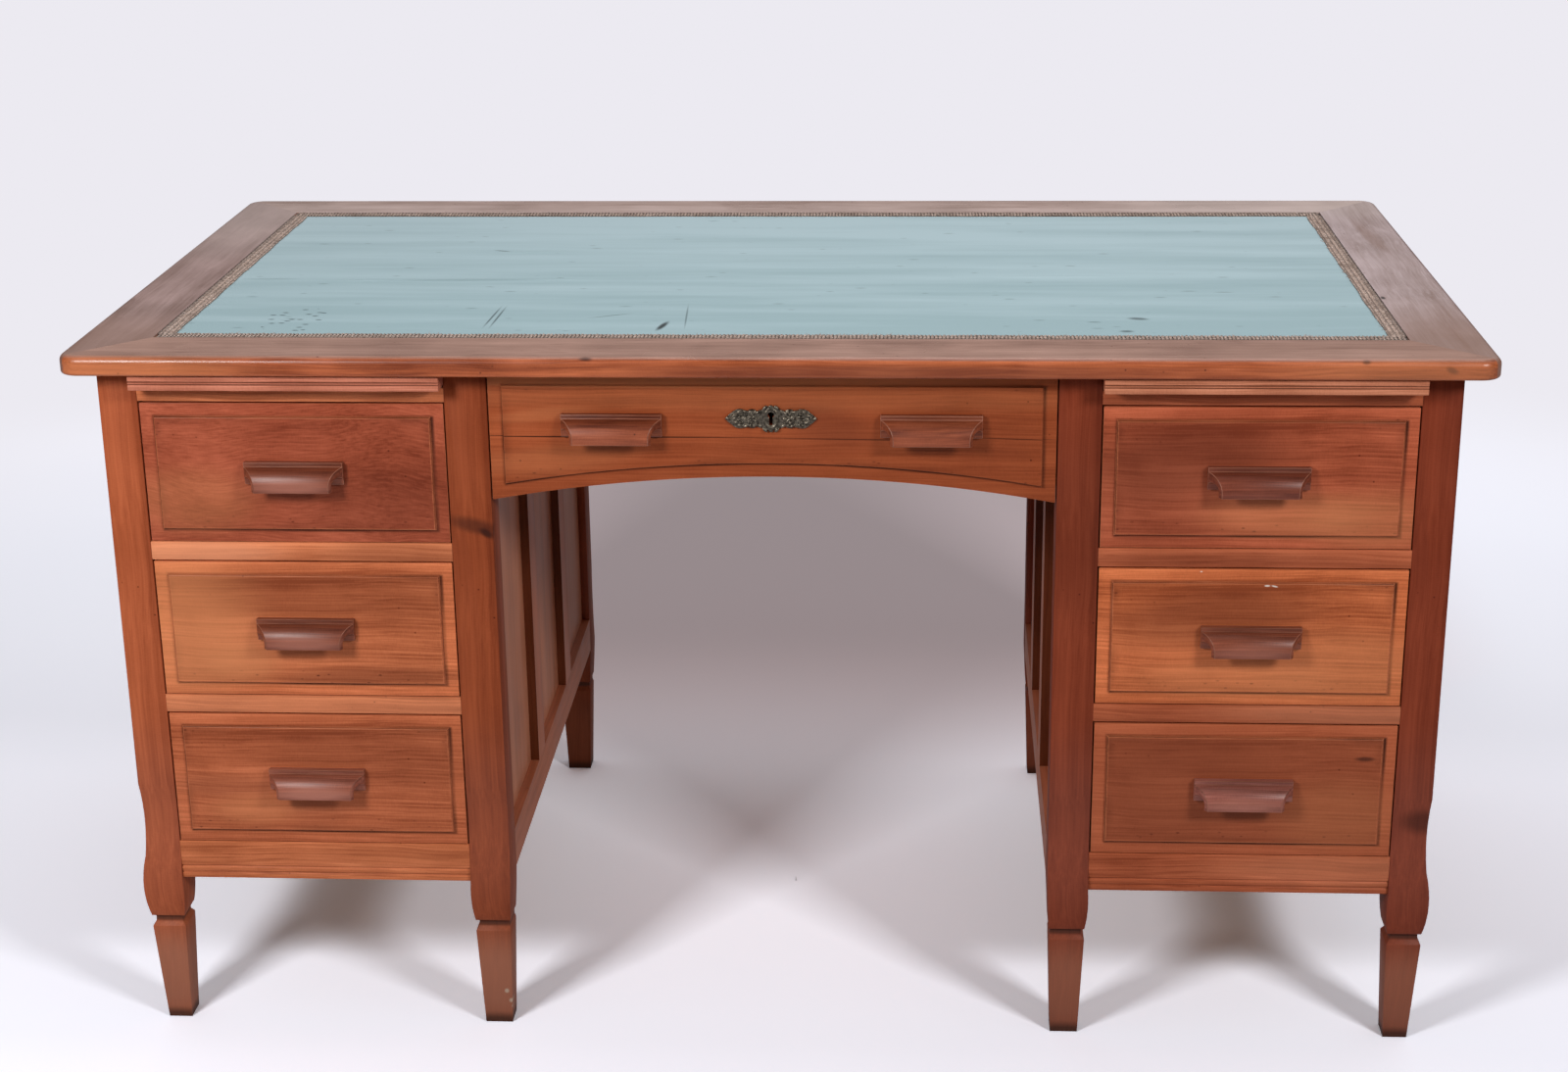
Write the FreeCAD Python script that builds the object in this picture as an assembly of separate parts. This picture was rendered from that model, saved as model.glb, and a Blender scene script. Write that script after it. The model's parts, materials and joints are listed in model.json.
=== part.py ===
# Twin-pedestal office desk, built as a joiner builds it.
# X runs to the right seen from the front, Y to the back, Z up; the origin is on the floor under the middle.
import FreeCAD
import Part
import os
from FreeCAD import Vector

# Sizes in millimetres
# Plan of the pedestals
KNEEHOLE_WIDTH = 586.0
BAY_WIDTH = 321.0
INNER_POST_WIDTH = 44.0
OUTER_POST_WIDTH = 40.0
POST_DEPTH = 42.0
PEDESTAL_DEPTH = 736.0

# Heights, from the floor up
FOOT_HEIGHT = 117.0
FOOT_SHOULDER = 5.0
NECK_HEIGHT = 8.0
KNEE_HEIGHT = 48.0
BOTTOM_RAIL_HEIGHT = 44.0
DRAWER_OPENING = 154.0
DIVIDER_HEIGHT = 20.0
SLIDE_RAIL_HEIGHT = 15.0
SLIDE_SLOT = 20.0
TOP_THICKNESS = 21.0

# Leg shape
FOOT_TAPER = 7.0
FOOT_INSET = 0.5
NECK_INSET = 4.0
KNEE_INSET = 0.5
LEG_SWELL = 4.0
LEG_DIP = 2.5
SWELL_HEIGHT = 33.0
SWELL_LENGTH = 73.0
DIP_LENGTH = 87.0
INSIDE_SWELL = 0.5
INSIDE_INSET = 2.0
KNEEHOLE_TAPER = 2.5
KNEEHOLE_INSET = 3.0

# Top
TOP_OVERHANG = 32.0
TOP_FRAME_WIDTH = 80.0
TOP_CORNER_RADIUS = 22.0
TOP_EDGE_RADIUS = 8.0
TOP_UNDER_RADIUS = 3.0
CORE_TONGUE_THICKNESS = 6.0
CORE_TONGUE_LENGTH = 10.0
CLOTH_RECESS = 3.0
CLOTH_THICKNESS = 1.5
BRAID_WIDTH = 17.0
BRAID_THICKNESS = 3.4
BRAID_GAP = 0.6

# Rails, muntins and panels
FRAME_THICKNESS = 22.0
TOP_SIDE_RAIL_HEIGHT = 55.0
MUNTIN_WIDTH = 46.0
PANEL_THICKNESS = 8.0
PANEL_RECESS = 10.0
PANEL_GROOVE = 7.0
DIVIDER_DEPTH = 60.0
TENON_LENGTH = 16.0
TENON_SHOULDER = 6.0
MUNTIN_TENON_LENGTH = 9.0
BEAD_HEIGHT = 7.0
BEAD_GROOVE = 1.6
APRON_HEIGHT = 138.0
APRON_THICKNESS = 20.0
APRON_RECESS = 4.0

# Runners
RUNNER_REACH = 25.0
RUNNER_HEIGHT = 20.0
GUIDE_HEIGHT = 24.0
SCREW_RADIUS = 2.25
SCREW_HEAD_RADIUS = 4.5
SCREW_HEAD_HEIGHT = 3.0
SCREW_LENGTH = 30.0
SCREW_SINK = 3.0
SCREW_CLEARANCE = 0.15
SCREW_SPREAD = 400.0

# Clearances of everything that slides
SIDE_CLEARANCE = 1.5
TOP_CLEARANCE = 2.0
FRONT_LIFT = 1.0
RUNNING_LIFT = 0.3

# Drawers
FRONT_SETBACK = 1.0
FRONT_THICKNESS = 20.0
FIELD_MARGIN = 14.0
FIELD_RISE = 3.0
FIELD_BEVEL = 1.2
DRAWER_REAR_CLEARANCE = 93.0
DRAWER_SIDE_HEIGHT = 128.0
DRAWER_SIDE_THICKNESS = 11.0
DRAWER_BACK_THICKNESS = 10.0
DRAWER_BACK_DROP = 8.0
DRAWER_BOTTOM_THICKNESS = 5.0
DRAWER_BOTTOM_LIFT = 9.0
DRAWER_GROOVE = 5.0
TAIL_LENGTH = 13.0
TAIL_WIDTH = 26.0
TAIL_FLARE = 2.5

# Centre drawer
CENTRE_END_HEIGHT = 138.0
CENTRE_ARCH_RISE = 26.5
CENTRE_FIELD_END_MARGIN = 17.5
CENTRE_FIELD_ARCH_RISE = 23.5
CENTRE_SIDE_HEIGHT = 88.0
CENTRE_SIDE_DROP = 17.0
CENTRE_REAR_CLEARANCE = 131.0

# Pulls
PULL_WIDTH = 104.0
PULL_HEIGHT = 28.5
PULL_HEEL_RISE = 4.5
PULL_DEPTH = 23.0
PULL_LEDGE_DEPTH = 7.0
PULL_LEDGE_HEIGHT = 4.5
PULL_STEP = 1.0
PULL_LIP_HEIGHT = 5.5
PULL_LIP_THICKNESS = 4.0
PULL_HOLLOW_HEIGHT = 14.0
PULL_BACK_THICKNESS = 5.0
PULL_END_CUT = 13.0
CENTRE_PULL_SPACING = 328.0
CENTRE_PULL_DROP = 43.0

# Writing slides
SLIDE_THICKNESS = 16.0
SLIDE_REAR_CLEARANCE = 234.0
LIP_HEIGHT = 15.0
LIP_PROJECTION = 26.0
LIP_DROP = 1.5
LIP_GROOVE = 1.5
LIP_GROOVE_DROP = 6.0
LIP_GROOVE_PITCH = 2.6

# Lock and escutcheon
PLATE_HALF_WIDTH = 47.0
PLATE_HALF_HEIGHT = 14.5
PLATE_THICKNESS = 2.0
PLATE_DROP = 48.0
PIN_RADIUS = 1.1
PIN_LENGTH = 9.0
PIN_OFFSET = 13.7
PIN_HEAD_HEIGHT = 0.8
PIN_CLEARANCE = 0.1
KEYHOLE_RISE = 3.7
KEYHOLE_RADIUS = 3.3
KEYHOLE_SLOT_WIDTH = 3.6
KEYHOLE_SLOT_LENGTH = 10.4
LOCK_WIDTH = 60.0
LOCK_HEIGHT = 62.0
LOCK_THICKNESS = 12.0
BOLT_WIDTH = 22.0
BOLT_THICKNESS = 5.0
BOLT_LENGTH = 30.0
BOLT_CLEARANCE = 0.4
BOLT_TRAVEL = 9.0

# Places worked out from the sizes
PEDESTAL_IN = KNEEHOLE_WIDTH / 2
BAY_IN = PEDESTAL_IN + INNER_POST_WIDTH
BAY_OUT = BAY_IN + BAY_WIDTH
PEDESTAL_OUT = BAY_OUT + OUTER_POST_WIDTH
BAY_MIDDLE = (BAY_IN + BAY_OUT) / 2
FRONT = -PEDESTAL_DEPTH / 2
BACK = PEDESTAL_DEPTH / 2
POST_BACK_OF_FRONT = FRONT + POST_DEPTH
POST_FRONT_OF_BACK = BACK - POST_DEPTH
NECK_BOTTOM = FOOT_HEIGHT + FOOT_SHOULDER
NECK_TOP = NECK_BOTTOM + NECK_HEIGHT
RAIL_BOTTOM = NECK_TOP + KNEE_HEIGHT
RAIL_TOP = RAIL_BOTTOM + BOTTOM_RAIL_HEIGHT
LEVEL_PITCH = DRAWER_OPENING + DIVIDER_HEIGHT
LEVELS = {"bottom": RAIL_TOP, "middle": RAIL_TOP + LEVEL_PITCH, "top": RAIL_TOP + 2 * LEVEL_PITCH}
SLIDE_RAIL_BOTTOM = LEVELS["top"] + DRAWER_OPENING
SLOT_FLOOR = SLIDE_RAIL_BOTTOM + SLIDE_RAIL_HEIGHT
TOP_UNDERSIDE = SLOT_FLOOR + SLIDE_SLOT
TOP_SURFACE = TOP_UNDERSIDE + TOP_THICKNESS
TOP_HALF_X = PEDESTAL_OUT + TOP_OVERHANG
TOP_HALF_Y = BACK + TOP_OVERHANG
OPENING_HALF_X = TOP_HALF_X - TOP_FRAME_WIDTH
OPENING_HALF_Y = TOP_HALF_Y - TOP_FRAME_WIDTH
CORE_TOP = TOP_SURFACE - CLOTH_RECESS
SIDE_RAIL_TOP_BOTTOM = TOP_UNDERSIDE - TOP_SIDE_RAIL_HEIGHT
FRONT_FACE = FRONT + FRONT_SETBACK
FIELD_FACE = FRONT_FACE - FIELD_RISE
FRONT_BACK = FRONT_FACE + FRONT_THICKNESS
APRON_FRONT = BACK - APRON_RECESS - APRON_THICKNESS
DRAWER_DEPTH = BACK - FRAME_THICKNESS - DRAWER_REAR_CLEARANCE - FRONT_BACK
CENTRE_DEPTH = APRON_FRONT - CENTRE_REAR_CLEARANCE - FRONT_BACK
SLIDE_DEPTH = BACK - FRAME_THICKNESS - SLIDE_REAR_CLEARANCE - FRONT
CENTRE_TOP = TOP_UNDERSIDE - TOP_CLEARANCE
CENTRE_END_BOTTOM = CENTRE_TOP - CENTRE_END_HEIGHT
CENTRE_SIDE_TOP = CENTRE_TOP - CENTRE_SIDE_DROP
CENTRE_SIDE_BOTTOM = CENTRE_SIDE_TOP - CENTRE_SIDE_HEIGHT
PLATE_Z = CENTRE_TOP - PLATE_DROP
KEYHOLE_Z = PLATE_Z + KEYHOLE_RISE
BOLT_Y = FRONT_BACK + LOCK_THICKNESS / 2


def box(x0, x1, y0, y1, z0, z1):
    return Part.makeBox(x1 - x0, y1 - y0, z1 - z0, Vector(x0, y0, z0))


def prism(points, along):
    """A straight solid with a flat outline of points, along a vector."""
    return Part.Face(Part.makePolygon(points + points[:1])).extrude(along)


def mirrored(shape):
    """The same piece on the other side of the desk."""
    return shape.mirror(Vector(0, 0, 0), Vector(1, 0, 0))


def side_named(name, shape, nodes):
    """Adds a right-hand piece and its left-hand twin."""
    nodes["right_" + name] = shape
    nodes["left_" + name] = mirrored(shape)


def cylinder(radius, length, at, along):
    return Part.makeCylinder(radius, length, at, along)


# Posts: the leg outline seen from the front and from the side, each run through and the two crossed
def leg_outline(width, place, swelled):
    """Outline of a post from its shown face at 0 to its framed face at width; place gives the 3-D point."""
    swell_end = NECK_TOP + SWELL_LENGTH
    dip_end = swell_end + DIP_LENGTH

    def line(a, b):
        return Part.makeLine(place(*a), place(*b))

    def arc(a, through, b):
        return Part.Arc(place(*a), place(*through), place(*b)).toShape()

    def leg_below(knee, foot):
        return [
            (knee, NECK_TOP),
            (NECK_INSET, NECK_TOP),
            (NECK_INSET, NECK_BOTTOM),
            (foot, FOOT_HEIGHT),
            (FOOT_TAPER, 0),
        ]

    if swelled:
        corners = leg_below(KNEE_INSET, FOOT_INSET)
        face = [
            line((0, TOP_UNDERSIDE), (0, dip_end)),
            arc((0, dip_end), (LEG_DIP, swell_end + DIP_LENGTH / 2), (0, swell_end)),
            arc((0, swell_end), (-LEG_SWELL, NECK_TOP + SWELL_HEIGHT), corners[0]),
        ]
    else:
        corners = leg_below(KNEEHOLE_TAPER, KNEEHOLE_INSET)
        face = [line((0, TOP_UNDERSIDE), (0, RAIL_BOTTOM)), line((0, RAIL_BOTTOM), corners[0])]
    shown = [line(a, b) for a, b in zip(corners, corners[1:])]
    back = width - INSIDE_INSET
    inside = leg_below(KNEE_INSET, FOOT_INSET)[:-1]
    returned = [(back - a, z) for a, z in inside] + [(width - FOOT_TAPER, 0)]
    framed = [line(a, b) for a, b in zip(returned, returned[1:])]
    edges = [
        line((width, TOP_UNDERSIDE), (0, TOP_UNDERSIDE)),
        *face,
        *shown,
        line((FOOT_TAPER, 0), (width - FOOT_TAPER, 0)),
        *framed,
        arc(returned[0], (width + INSIDE_SWELL, NECK_TOP + SWELL_HEIGHT), (width, RAIL_BOTTOM)),
        line((width, RAIL_BOTTOM), (width, TOP_UNDERSIDE)),
    ]
    return Part.Face(Part.Wire(Part.__sortEdges__(edges)))


def post(shown_x, inward_x, shown_y, inward_y, width, swelled):
    """A post whose shown faces are at shown_x and shown_y; swelled says if the leg swells at shown_x too."""
    spare = 2 * LEG_SWELL
    before_y = shown_y - inward_y * spare
    beside_x = shown_x - inward_x * spare
    seen_front = leg_outline(width, lambda s, z: Vector(shown_x + inward_x * s, before_y, z), swelled)
    seen_side = leg_outline(POST_DEPTH, lambda s, z: Vector(beside_x, shown_y + inward_y * s, z), True)
    through_y = seen_front.extrude(Vector(0, inward_y * (POST_DEPTH + 2 * spare), 0))
    through_x = seen_side.extrude(Vector(inward_x * (width + 2 * spare), 0, 0))
    return through_y.common(through_x).Solids[0]


# Rails with a tenon at each end
def rail_along_x(x0, x1, y0, y1, z0, z1, cheek_y=TENON_SHOULDER, cheek_z=TENON_SHOULDER):
    body = box(x0, x1, y0, y1, z0, z1)
    tenons = box(
        x0 - TENON_LENGTH, x1 + TENON_LENGTH, y0 + cheek_y, y1 - cheek_y, z0 + cheek_z, z1 - cheek_z
    )
    return body.fuse(tenons).removeSplitter()


def rail_along_y(x0, x1, z0, z1):
    body = box(x0, x1, POST_BACK_OF_FRONT, POST_FRONT_OF_BACK, z0, z1)
    tenons = box(
        x0 + TENON_SHOULDER,
        x1 - TENON_SHOULDER,
        POST_BACK_OF_FRONT - TENON_LENGTH,
        POST_FRONT_OF_BACK + TENON_LENGTH,
        z0 + TENON_SHOULDER,
        z1 - TENON_SHOULDER,
    )
    return body.fuse(tenons).removeSplitter()


def muntin(x0, x1, y0, y1, thin_x):
    """An upright between the top and bottom rails, with its tenons thinned in X or in Y."""
    cut_x = TENON_SHOULDER if thin_x else 0
    cut_y = 0 if thin_x else TENON_SHOULDER
    body = box(x0, x1, y0, y1, RAIL_TOP, SIDE_RAIL_TOP_BOTTOM)
    tenons = box(
        x0 + cut_x,
        x1 - cut_x,
        y0 + cut_y,
        y1 - cut_y,
        RAIL_TOP - MUNTIN_TENON_LENGTH,
        SIDE_RAIL_TOP_BOTTOM + MUNTIN_TENON_LENGTH,
    )
    return body.fuse(tenons).removeSplitter()


def fitted(pieces, cutters):
    """Each piece with the cutters' places taken out of it."""
    return [p.cut(cutters).Solids[0] for p in pieces]


def side_frame(shown_x, inward_x):
    """One side of a pedestal: two rails, two muntins and three sunk panels."""
    x0, x1 = sorted((shown_x, shown_x + inward_x * FRAME_THICKNESS))
    p0, p1 = sorted(
        (shown_x + inward_x * PANEL_RECESS, shown_x + inward_x * (PANEL_RECESS + PANEL_THICKNESS))
    )
    panel_width = (POST_FRONT_OF_BACK - POST_BACK_OF_FRONT - 2 * MUNTIN_WIDTH) / 3
    starts = [POST_BACK_OF_FRONT + i * (panel_width + MUNTIN_WIDTH) for i in range(3)]
    panels = [
        box(
            p0,
            p1,
            y - PANEL_GROOVE,
            y + panel_width + PANEL_GROOVE,
            RAIL_TOP - PANEL_GROOVE,
            SIDE_RAIL_TOP_BOTTOM + PANEL_GROOVE,
        )
        for y in starts
    ]
    muntins = [muntin(x0, x1, y - MUNTIN_WIDTH, y, True) for y in starts[1:]]
    rails = [
        rail_along_y(x0, x1, RAIL_BOTTOM, RAIL_TOP),
        rail_along_y(x0, x1, SIDE_RAIL_TOP_BOTTOM, TOP_UNDERSIDE),
    ]
    grooves = Part.makeCompound(panels)
    muntins = fitted(muntins, grooves)
    rails = fitted(rails, Part.makeCompound(panels + muntins))
    return rails + muntins, panels


def back_frame():
    """The back of a pedestal: two rails, one muntin and two sunk panels."""
    y0 = BACK - FRAME_THICKNESS
    p1 = BACK - PANEL_RECESS
    m0 = BAY_MIDDLE - MUNTIN_WIDTH / 2
    m1 = BAY_MIDDLE + MUNTIN_WIDTH / 2
    panels = [
        box(
            a - PANEL_GROOVE,
            b + PANEL_GROOVE,
            p1 - PANEL_THICKNESS,
            p1,
            RAIL_TOP - PANEL_GROOVE,
            SIDE_RAIL_TOP_BOTTOM + PANEL_GROOVE,
        )
        for a, b in ((BAY_IN, m0), (m1, BAY_OUT))
    ]
    middle = fitted([muntin(m0, m1, y0, BACK, False)], Part.makeCompound(panels))
    rails = [
        rail_along_x(BAY_IN, BAY_OUT, y0, BACK, RAIL_BOTTOM, RAIL_TOP),
        rail_along_x(BAY_IN, BAY_OUT, y0, BACK, SIDE_RAIL_TOP_BOTTOM, TOP_UNDERSIDE),
    ]
    rails = fitted(rails, Part.makeCompound(panels + middle))
    return rails + middle, panels


def front_rails():
    """Beaded bottom rail, two dividers and the rail under the writing slide."""
    bottom = rail_along_x(BAY_IN, BAY_OUT, FRONT, FRONT + FRAME_THICKNESS, RAIL_BOTTOM, RAIL_TOP)
    for i in (1, 2):
        z = RAIL_BOTTOM + i * BEAD_HEIGHT
        groove = prism(
            [
                Vector(BAY_IN, FRONT, z - BEAD_GROOVE),
                Vector(BAY_IN, FRONT + BEAD_GROOVE, z),
                Vector(BAY_IN, FRONT, z + BEAD_GROOVE),
            ],
            Vector(BAY_WIDTH, 0, 0),
        )
        bottom = bottom.cut(groove)
    flat = [
        rail_along_x(BAY_IN, BAY_OUT, FRONT, FRONT + DIVIDER_DEPTH, z0, z1, DIVIDER_DEPTH / 3, (z1 - z0) / 4)
        for z0, z1 in (
            (LEVELS["middle"] - DIVIDER_HEIGHT, LEVELS["middle"]),
            (LEVELS["top"] - DIVIDER_HEIGHT, LEVELS["top"]),
            (SLIDE_RAIL_BOTTOM, SLOT_FLOOR),
        )
    ]
    return [bottom] + flat


# Top: one rounded slab, hollowed for the core board and cut into four mitred members
def top_slab():
    slab = box(-TOP_HALF_X, TOP_HALF_X, -TOP_HALF_Y, TOP_HALF_Y, TOP_UNDERSIDE, TOP_SURFACE)
    upright = [e for e in slab.Edges if abs(e.Vertexes[0].Z - e.Vertexes[1].Z) > TOP_THICKNESS / 2]
    slab = slab.makeFillet(TOP_CORNER_RADIUS, upright)
    for level, radius in ((TOP_SURFACE, TOP_EDGE_RADIUS), (TOP_UNDERSIDE, TOP_UNDER_RADIUS)):
        rim = [e for e in slab.Edges if all(abs(v.Z - level) < 1e-6 for v in e.Vertexes)]
        slab = slab.makeFillet(radius, rim)
    return slab


def mitred(outer_x, outer_y, inner_x, inner_y, z0, z1):
    """Four mitred wedges between two rectangles: front, back, left and right."""
    rise = Vector(0, 0, z1 - z0)
    front = prism(
        [
            Vector(-outer_x, -outer_y, z0),
            Vector(outer_x, -outer_y, z0),
            Vector(inner_x, -inner_y, z0),
            Vector(-inner_x, -inner_y, z0),
        ],
        rise,
    )
    right = prism(
        [
            Vector(outer_x, -outer_y, z0),
            Vector(outer_x, outer_y, z0),
            Vector(inner_x, inner_y, z0),
            Vector(inner_x, -inner_y, z0),
        ],
        rise,
    )
    back = front.mirror(Vector(0, 0, 0), Vector(0, 1, 0))
    return {"front": front, "back": back, "left": mirrored(right), "right": right}


def core_board():
    body = box(-OPENING_HALF_X, OPENING_HALF_X, -OPENING_HALF_Y, OPENING_HALF_Y, TOP_UNDERSIDE, CORE_TOP)
    middle = (TOP_UNDERSIDE + CORE_TOP) / 2
    tongue = box(
        -OPENING_HALF_X - CORE_TONGUE_LENGTH,
        OPENING_HALF_X + CORE_TONGUE_LENGTH,
        -OPENING_HALF_Y - CORE_TONGUE_LENGTH,
        OPENING_HALF_Y + CORE_TONGUE_LENGTH,
        middle - CORE_TONGUE_THICKNESS / 2,
        middle + CORE_TONGUE_THICKNESS / 2,
    )
    return body.fuse(tongue).removeSplitter()


# Runners, guides and cleats of the right pedestal: outer and inner strips at each level
def strip_ranges():
    """The X range of a runner and of the guide beside it, on the outer and on the inner side."""
    frame_out = PEDESTAL_OUT - FRAME_THICKNESS
    frame_in = PEDESTAL_IN + FRAME_THICKNESS
    outer = ((BAY_OUT - RUNNER_REACH, frame_out), (BAY_OUT, frame_out))
    inner = ((frame_in, BAY_IN + RUNNER_REACH), (frame_in, BAY_IN))
    return outer, inner


def runners():
    strips = []
    for runner, guide in strip_ranges():
        for name, z in LEVELS.items():
            start = POST_BACK_OF_FRONT if name == "bottom" else FRONT + DIVIDER_DEPTH
            strips.append(box(*runner, start, POST_FRONT_OF_BACK, z - RUNNER_HEIGHT, z))
            strips.append(box(*guide, start, POST_FRONT_OF_BACK, z, z + GUIDE_HEIGHT))
        start = FRONT + DIVIDER_DEPTH
        strips.append(box(*runner, start, POST_FRONT_OF_BACK, SLIDE_RAIL_BOTTOM, SLOT_FLOOR))
        strips.append(box(*guide, start, POST_FRONT_OF_BACK, SLOT_FLOOR, TOP_UNDERSIDE))
    return strips


def screw_places():
    spots = []
    for _, guide in strip_ranges():
        for y in (-SCREW_SPREAD / 2, SCREW_SPREAD / 2):
            spots.append(Vector(sum(guide) / 2, y, SLOT_FLOOR + SCREW_SINK))
    return spots


def screw(at, spare):
    """A round-headed wood screw pointing up, grown by spare for its hole."""
    up = Vector(0, 0, 1)
    head = cylinder(SCREW_HEAD_RADIUS + spare, SCREW_HEAD_HEIGHT, at, up)
    shank = cylinder(SCREW_RADIUS + spare, SCREW_LENGTH + spare, at, up)
    return head.fuse(shank).removeSplitter()


def screw_hole(at):
    down = cylinder(SCREW_HEAD_RADIUS + SCREW_CLEARANCE, SCREW_SINK, at, Vector(0, 0, -1))
    return screw(at, SCREW_CLEARANCE).fuse(down)


# Drawers
def tailed_side(x0, z0, z1, length):
    """A drawer side with dovetails at its front end; x0 is its left face."""
    count = max(2, int((z1 - z0) / (1.6 * TAIL_WIDTH)))
    pitch = (z1 - z0) / count
    points = [Vector(x0, FRONT_BACK, z0)]
    for i in range(count):
        middle = z0 + (i + 0.5) * pitch
        root = TAIL_WIDTH / 2 - TAIL_FLARE
        points += [
            Vector(x0, FRONT_BACK, middle - root),
            Vector(x0, FRONT_BACK - TAIL_LENGTH, middle - TAIL_WIDTH / 2),
            Vector(x0, FRONT_BACK - TAIL_LENGTH, middle + TAIL_WIDTH / 2),
            Vector(x0, FRONT_BACK, middle + root),
        ]
    points += [
        Vector(x0, FRONT_BACK, z1),
        Vector(x0, FRONT_BACK + length, z1),
        Vector(x0, FRONT_BACK + length, z0),
    ]
    return prism(points, Vector(DRAWER_SIDE_THICKNESS, 0, 0))


def drawer_box(half_width, middle, z0, height, length):
    """Two dovetailed sides, the back and the bottom, round a middle in X."""
    left = tailed_side(middle - half_width, z0, z0 + height, length)
    right = tailed_side(middle + half_width - DRAWER_SIDE_THICKNESS, z0, z0 + height, length)
    inside = half_width - DRAWER_SIDE_THICKNESS
    floor = z0 + DRAWER_BOTTOM_LIFT
    end = FRONT_BACK + length
    bottom = box(
        middle - inside - DRAWER_GROOVE,
        middle + inside + DRAWER_GROOVE,
        FRONT_BACK - DRAWER_GROOVE,
        end,
        floor,
        floor + DRAWER_BOTTOM_THICKNESS,
    )
    back = box(
        middle - inside,
        middle + inside,
        end - DRAWER_BACK_THICKNESS,
        end,
        floor + DRAWER_BOTTOM_THICKNESS,
        z0 + height - DRAWER_BACK_DROP,
    )
    return [left.cut(bottom), right.cut(bottom), back, bottom]


def raised(outline, bevel):
    """A raised field from its flat outline on the front face, with its front arris taken off."""
    field = outline.extrude(Vector(0, -FIELD_RISE, 0))
    rim = [e for e in field.Edges if all(abs(v.Y - FIELD_FACE) < 1e-6 for v in e.Vertexes)]
    return field.makeChamfer(bevel, rim)


def pedestal_front(z):
    half = BAY_WIDTH / 2 - SIDE_CLEARANCE
    x0, x1 = BAY_MIDDLE - half, BAY_MIDDLE + half
    z0, z1 = z + FRONT_LIFT, z + DRAWER_OPENING - TOP_CLEARANCE
    board = box(x0, x1, FRONT_FACE, FRONT_BACK, z0, z1)
    corners = [
        Vector(x0 + FIELD_MARGIN, FRONT_FACE, z0 + FIELD_MARGIN),
        Vector(x1 - FIELD_MARGIN, FRONT_FACE, z0 + FIELD_MARGIN),
        Vector(x1 - FIELD_MARGIN, FRONT_FACE, z1 - FIELD_MARGIN),
        Vector(x0 + FIELD_MARGIN, FRONT_FACE, z1 - FIELD_MARGIN),
    ]
    outline = Part.Face(Part.makePolygon(corners + corners[:1]))
    return board.fuse(raised(outline, FIELD_BEVEL)).removeSplitter()


def arched(half, z_end, rise, z_top):
    """A flat outline on the front face with an arched lower edge."""
    left, right = Vector(-half, FRONT_FACE, z_end), Vector(half, FRONT_FACE, z_end)
    top_left, top_right = Vector(-half, FRONT_FACE, z_top), Vector(half, FRONT_FACE, z_top)
    arch = Part.Arc(left, Vector(0, FRONT_FACE, z_end + rise), right).toShape()
    corners = [right, top_right, top_left, left]
    sides = [Part.makeLine(a, b) for a, b in zip(corners, corners[1:])]
    return Part.Face(Part.Wire([arch] + sides))


def centre_front():
    half = PEDESTAL_IN - SIDE_CLEARANCE
    board = arched(half, CENTRE_END_BOTTOM, CENTRE_ARCH_RISE, CENTRE_TOP)
    board = board.extrude(Vector(0, FRONT_THICKNESS, 0))
    field = arched(
        half - FIELD_MARGIN,
        CENTRE_END_BOTTOM + CENTRE_FIELD_END_MARGIN,
        CENTRE_FIELD_ARCH_RISE,
        CENTRE_TOP - FIELD_MARGIN,
    )
    return board.fuse(raised(field, FIELD_BEVEL)).removeSplitter()


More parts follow.
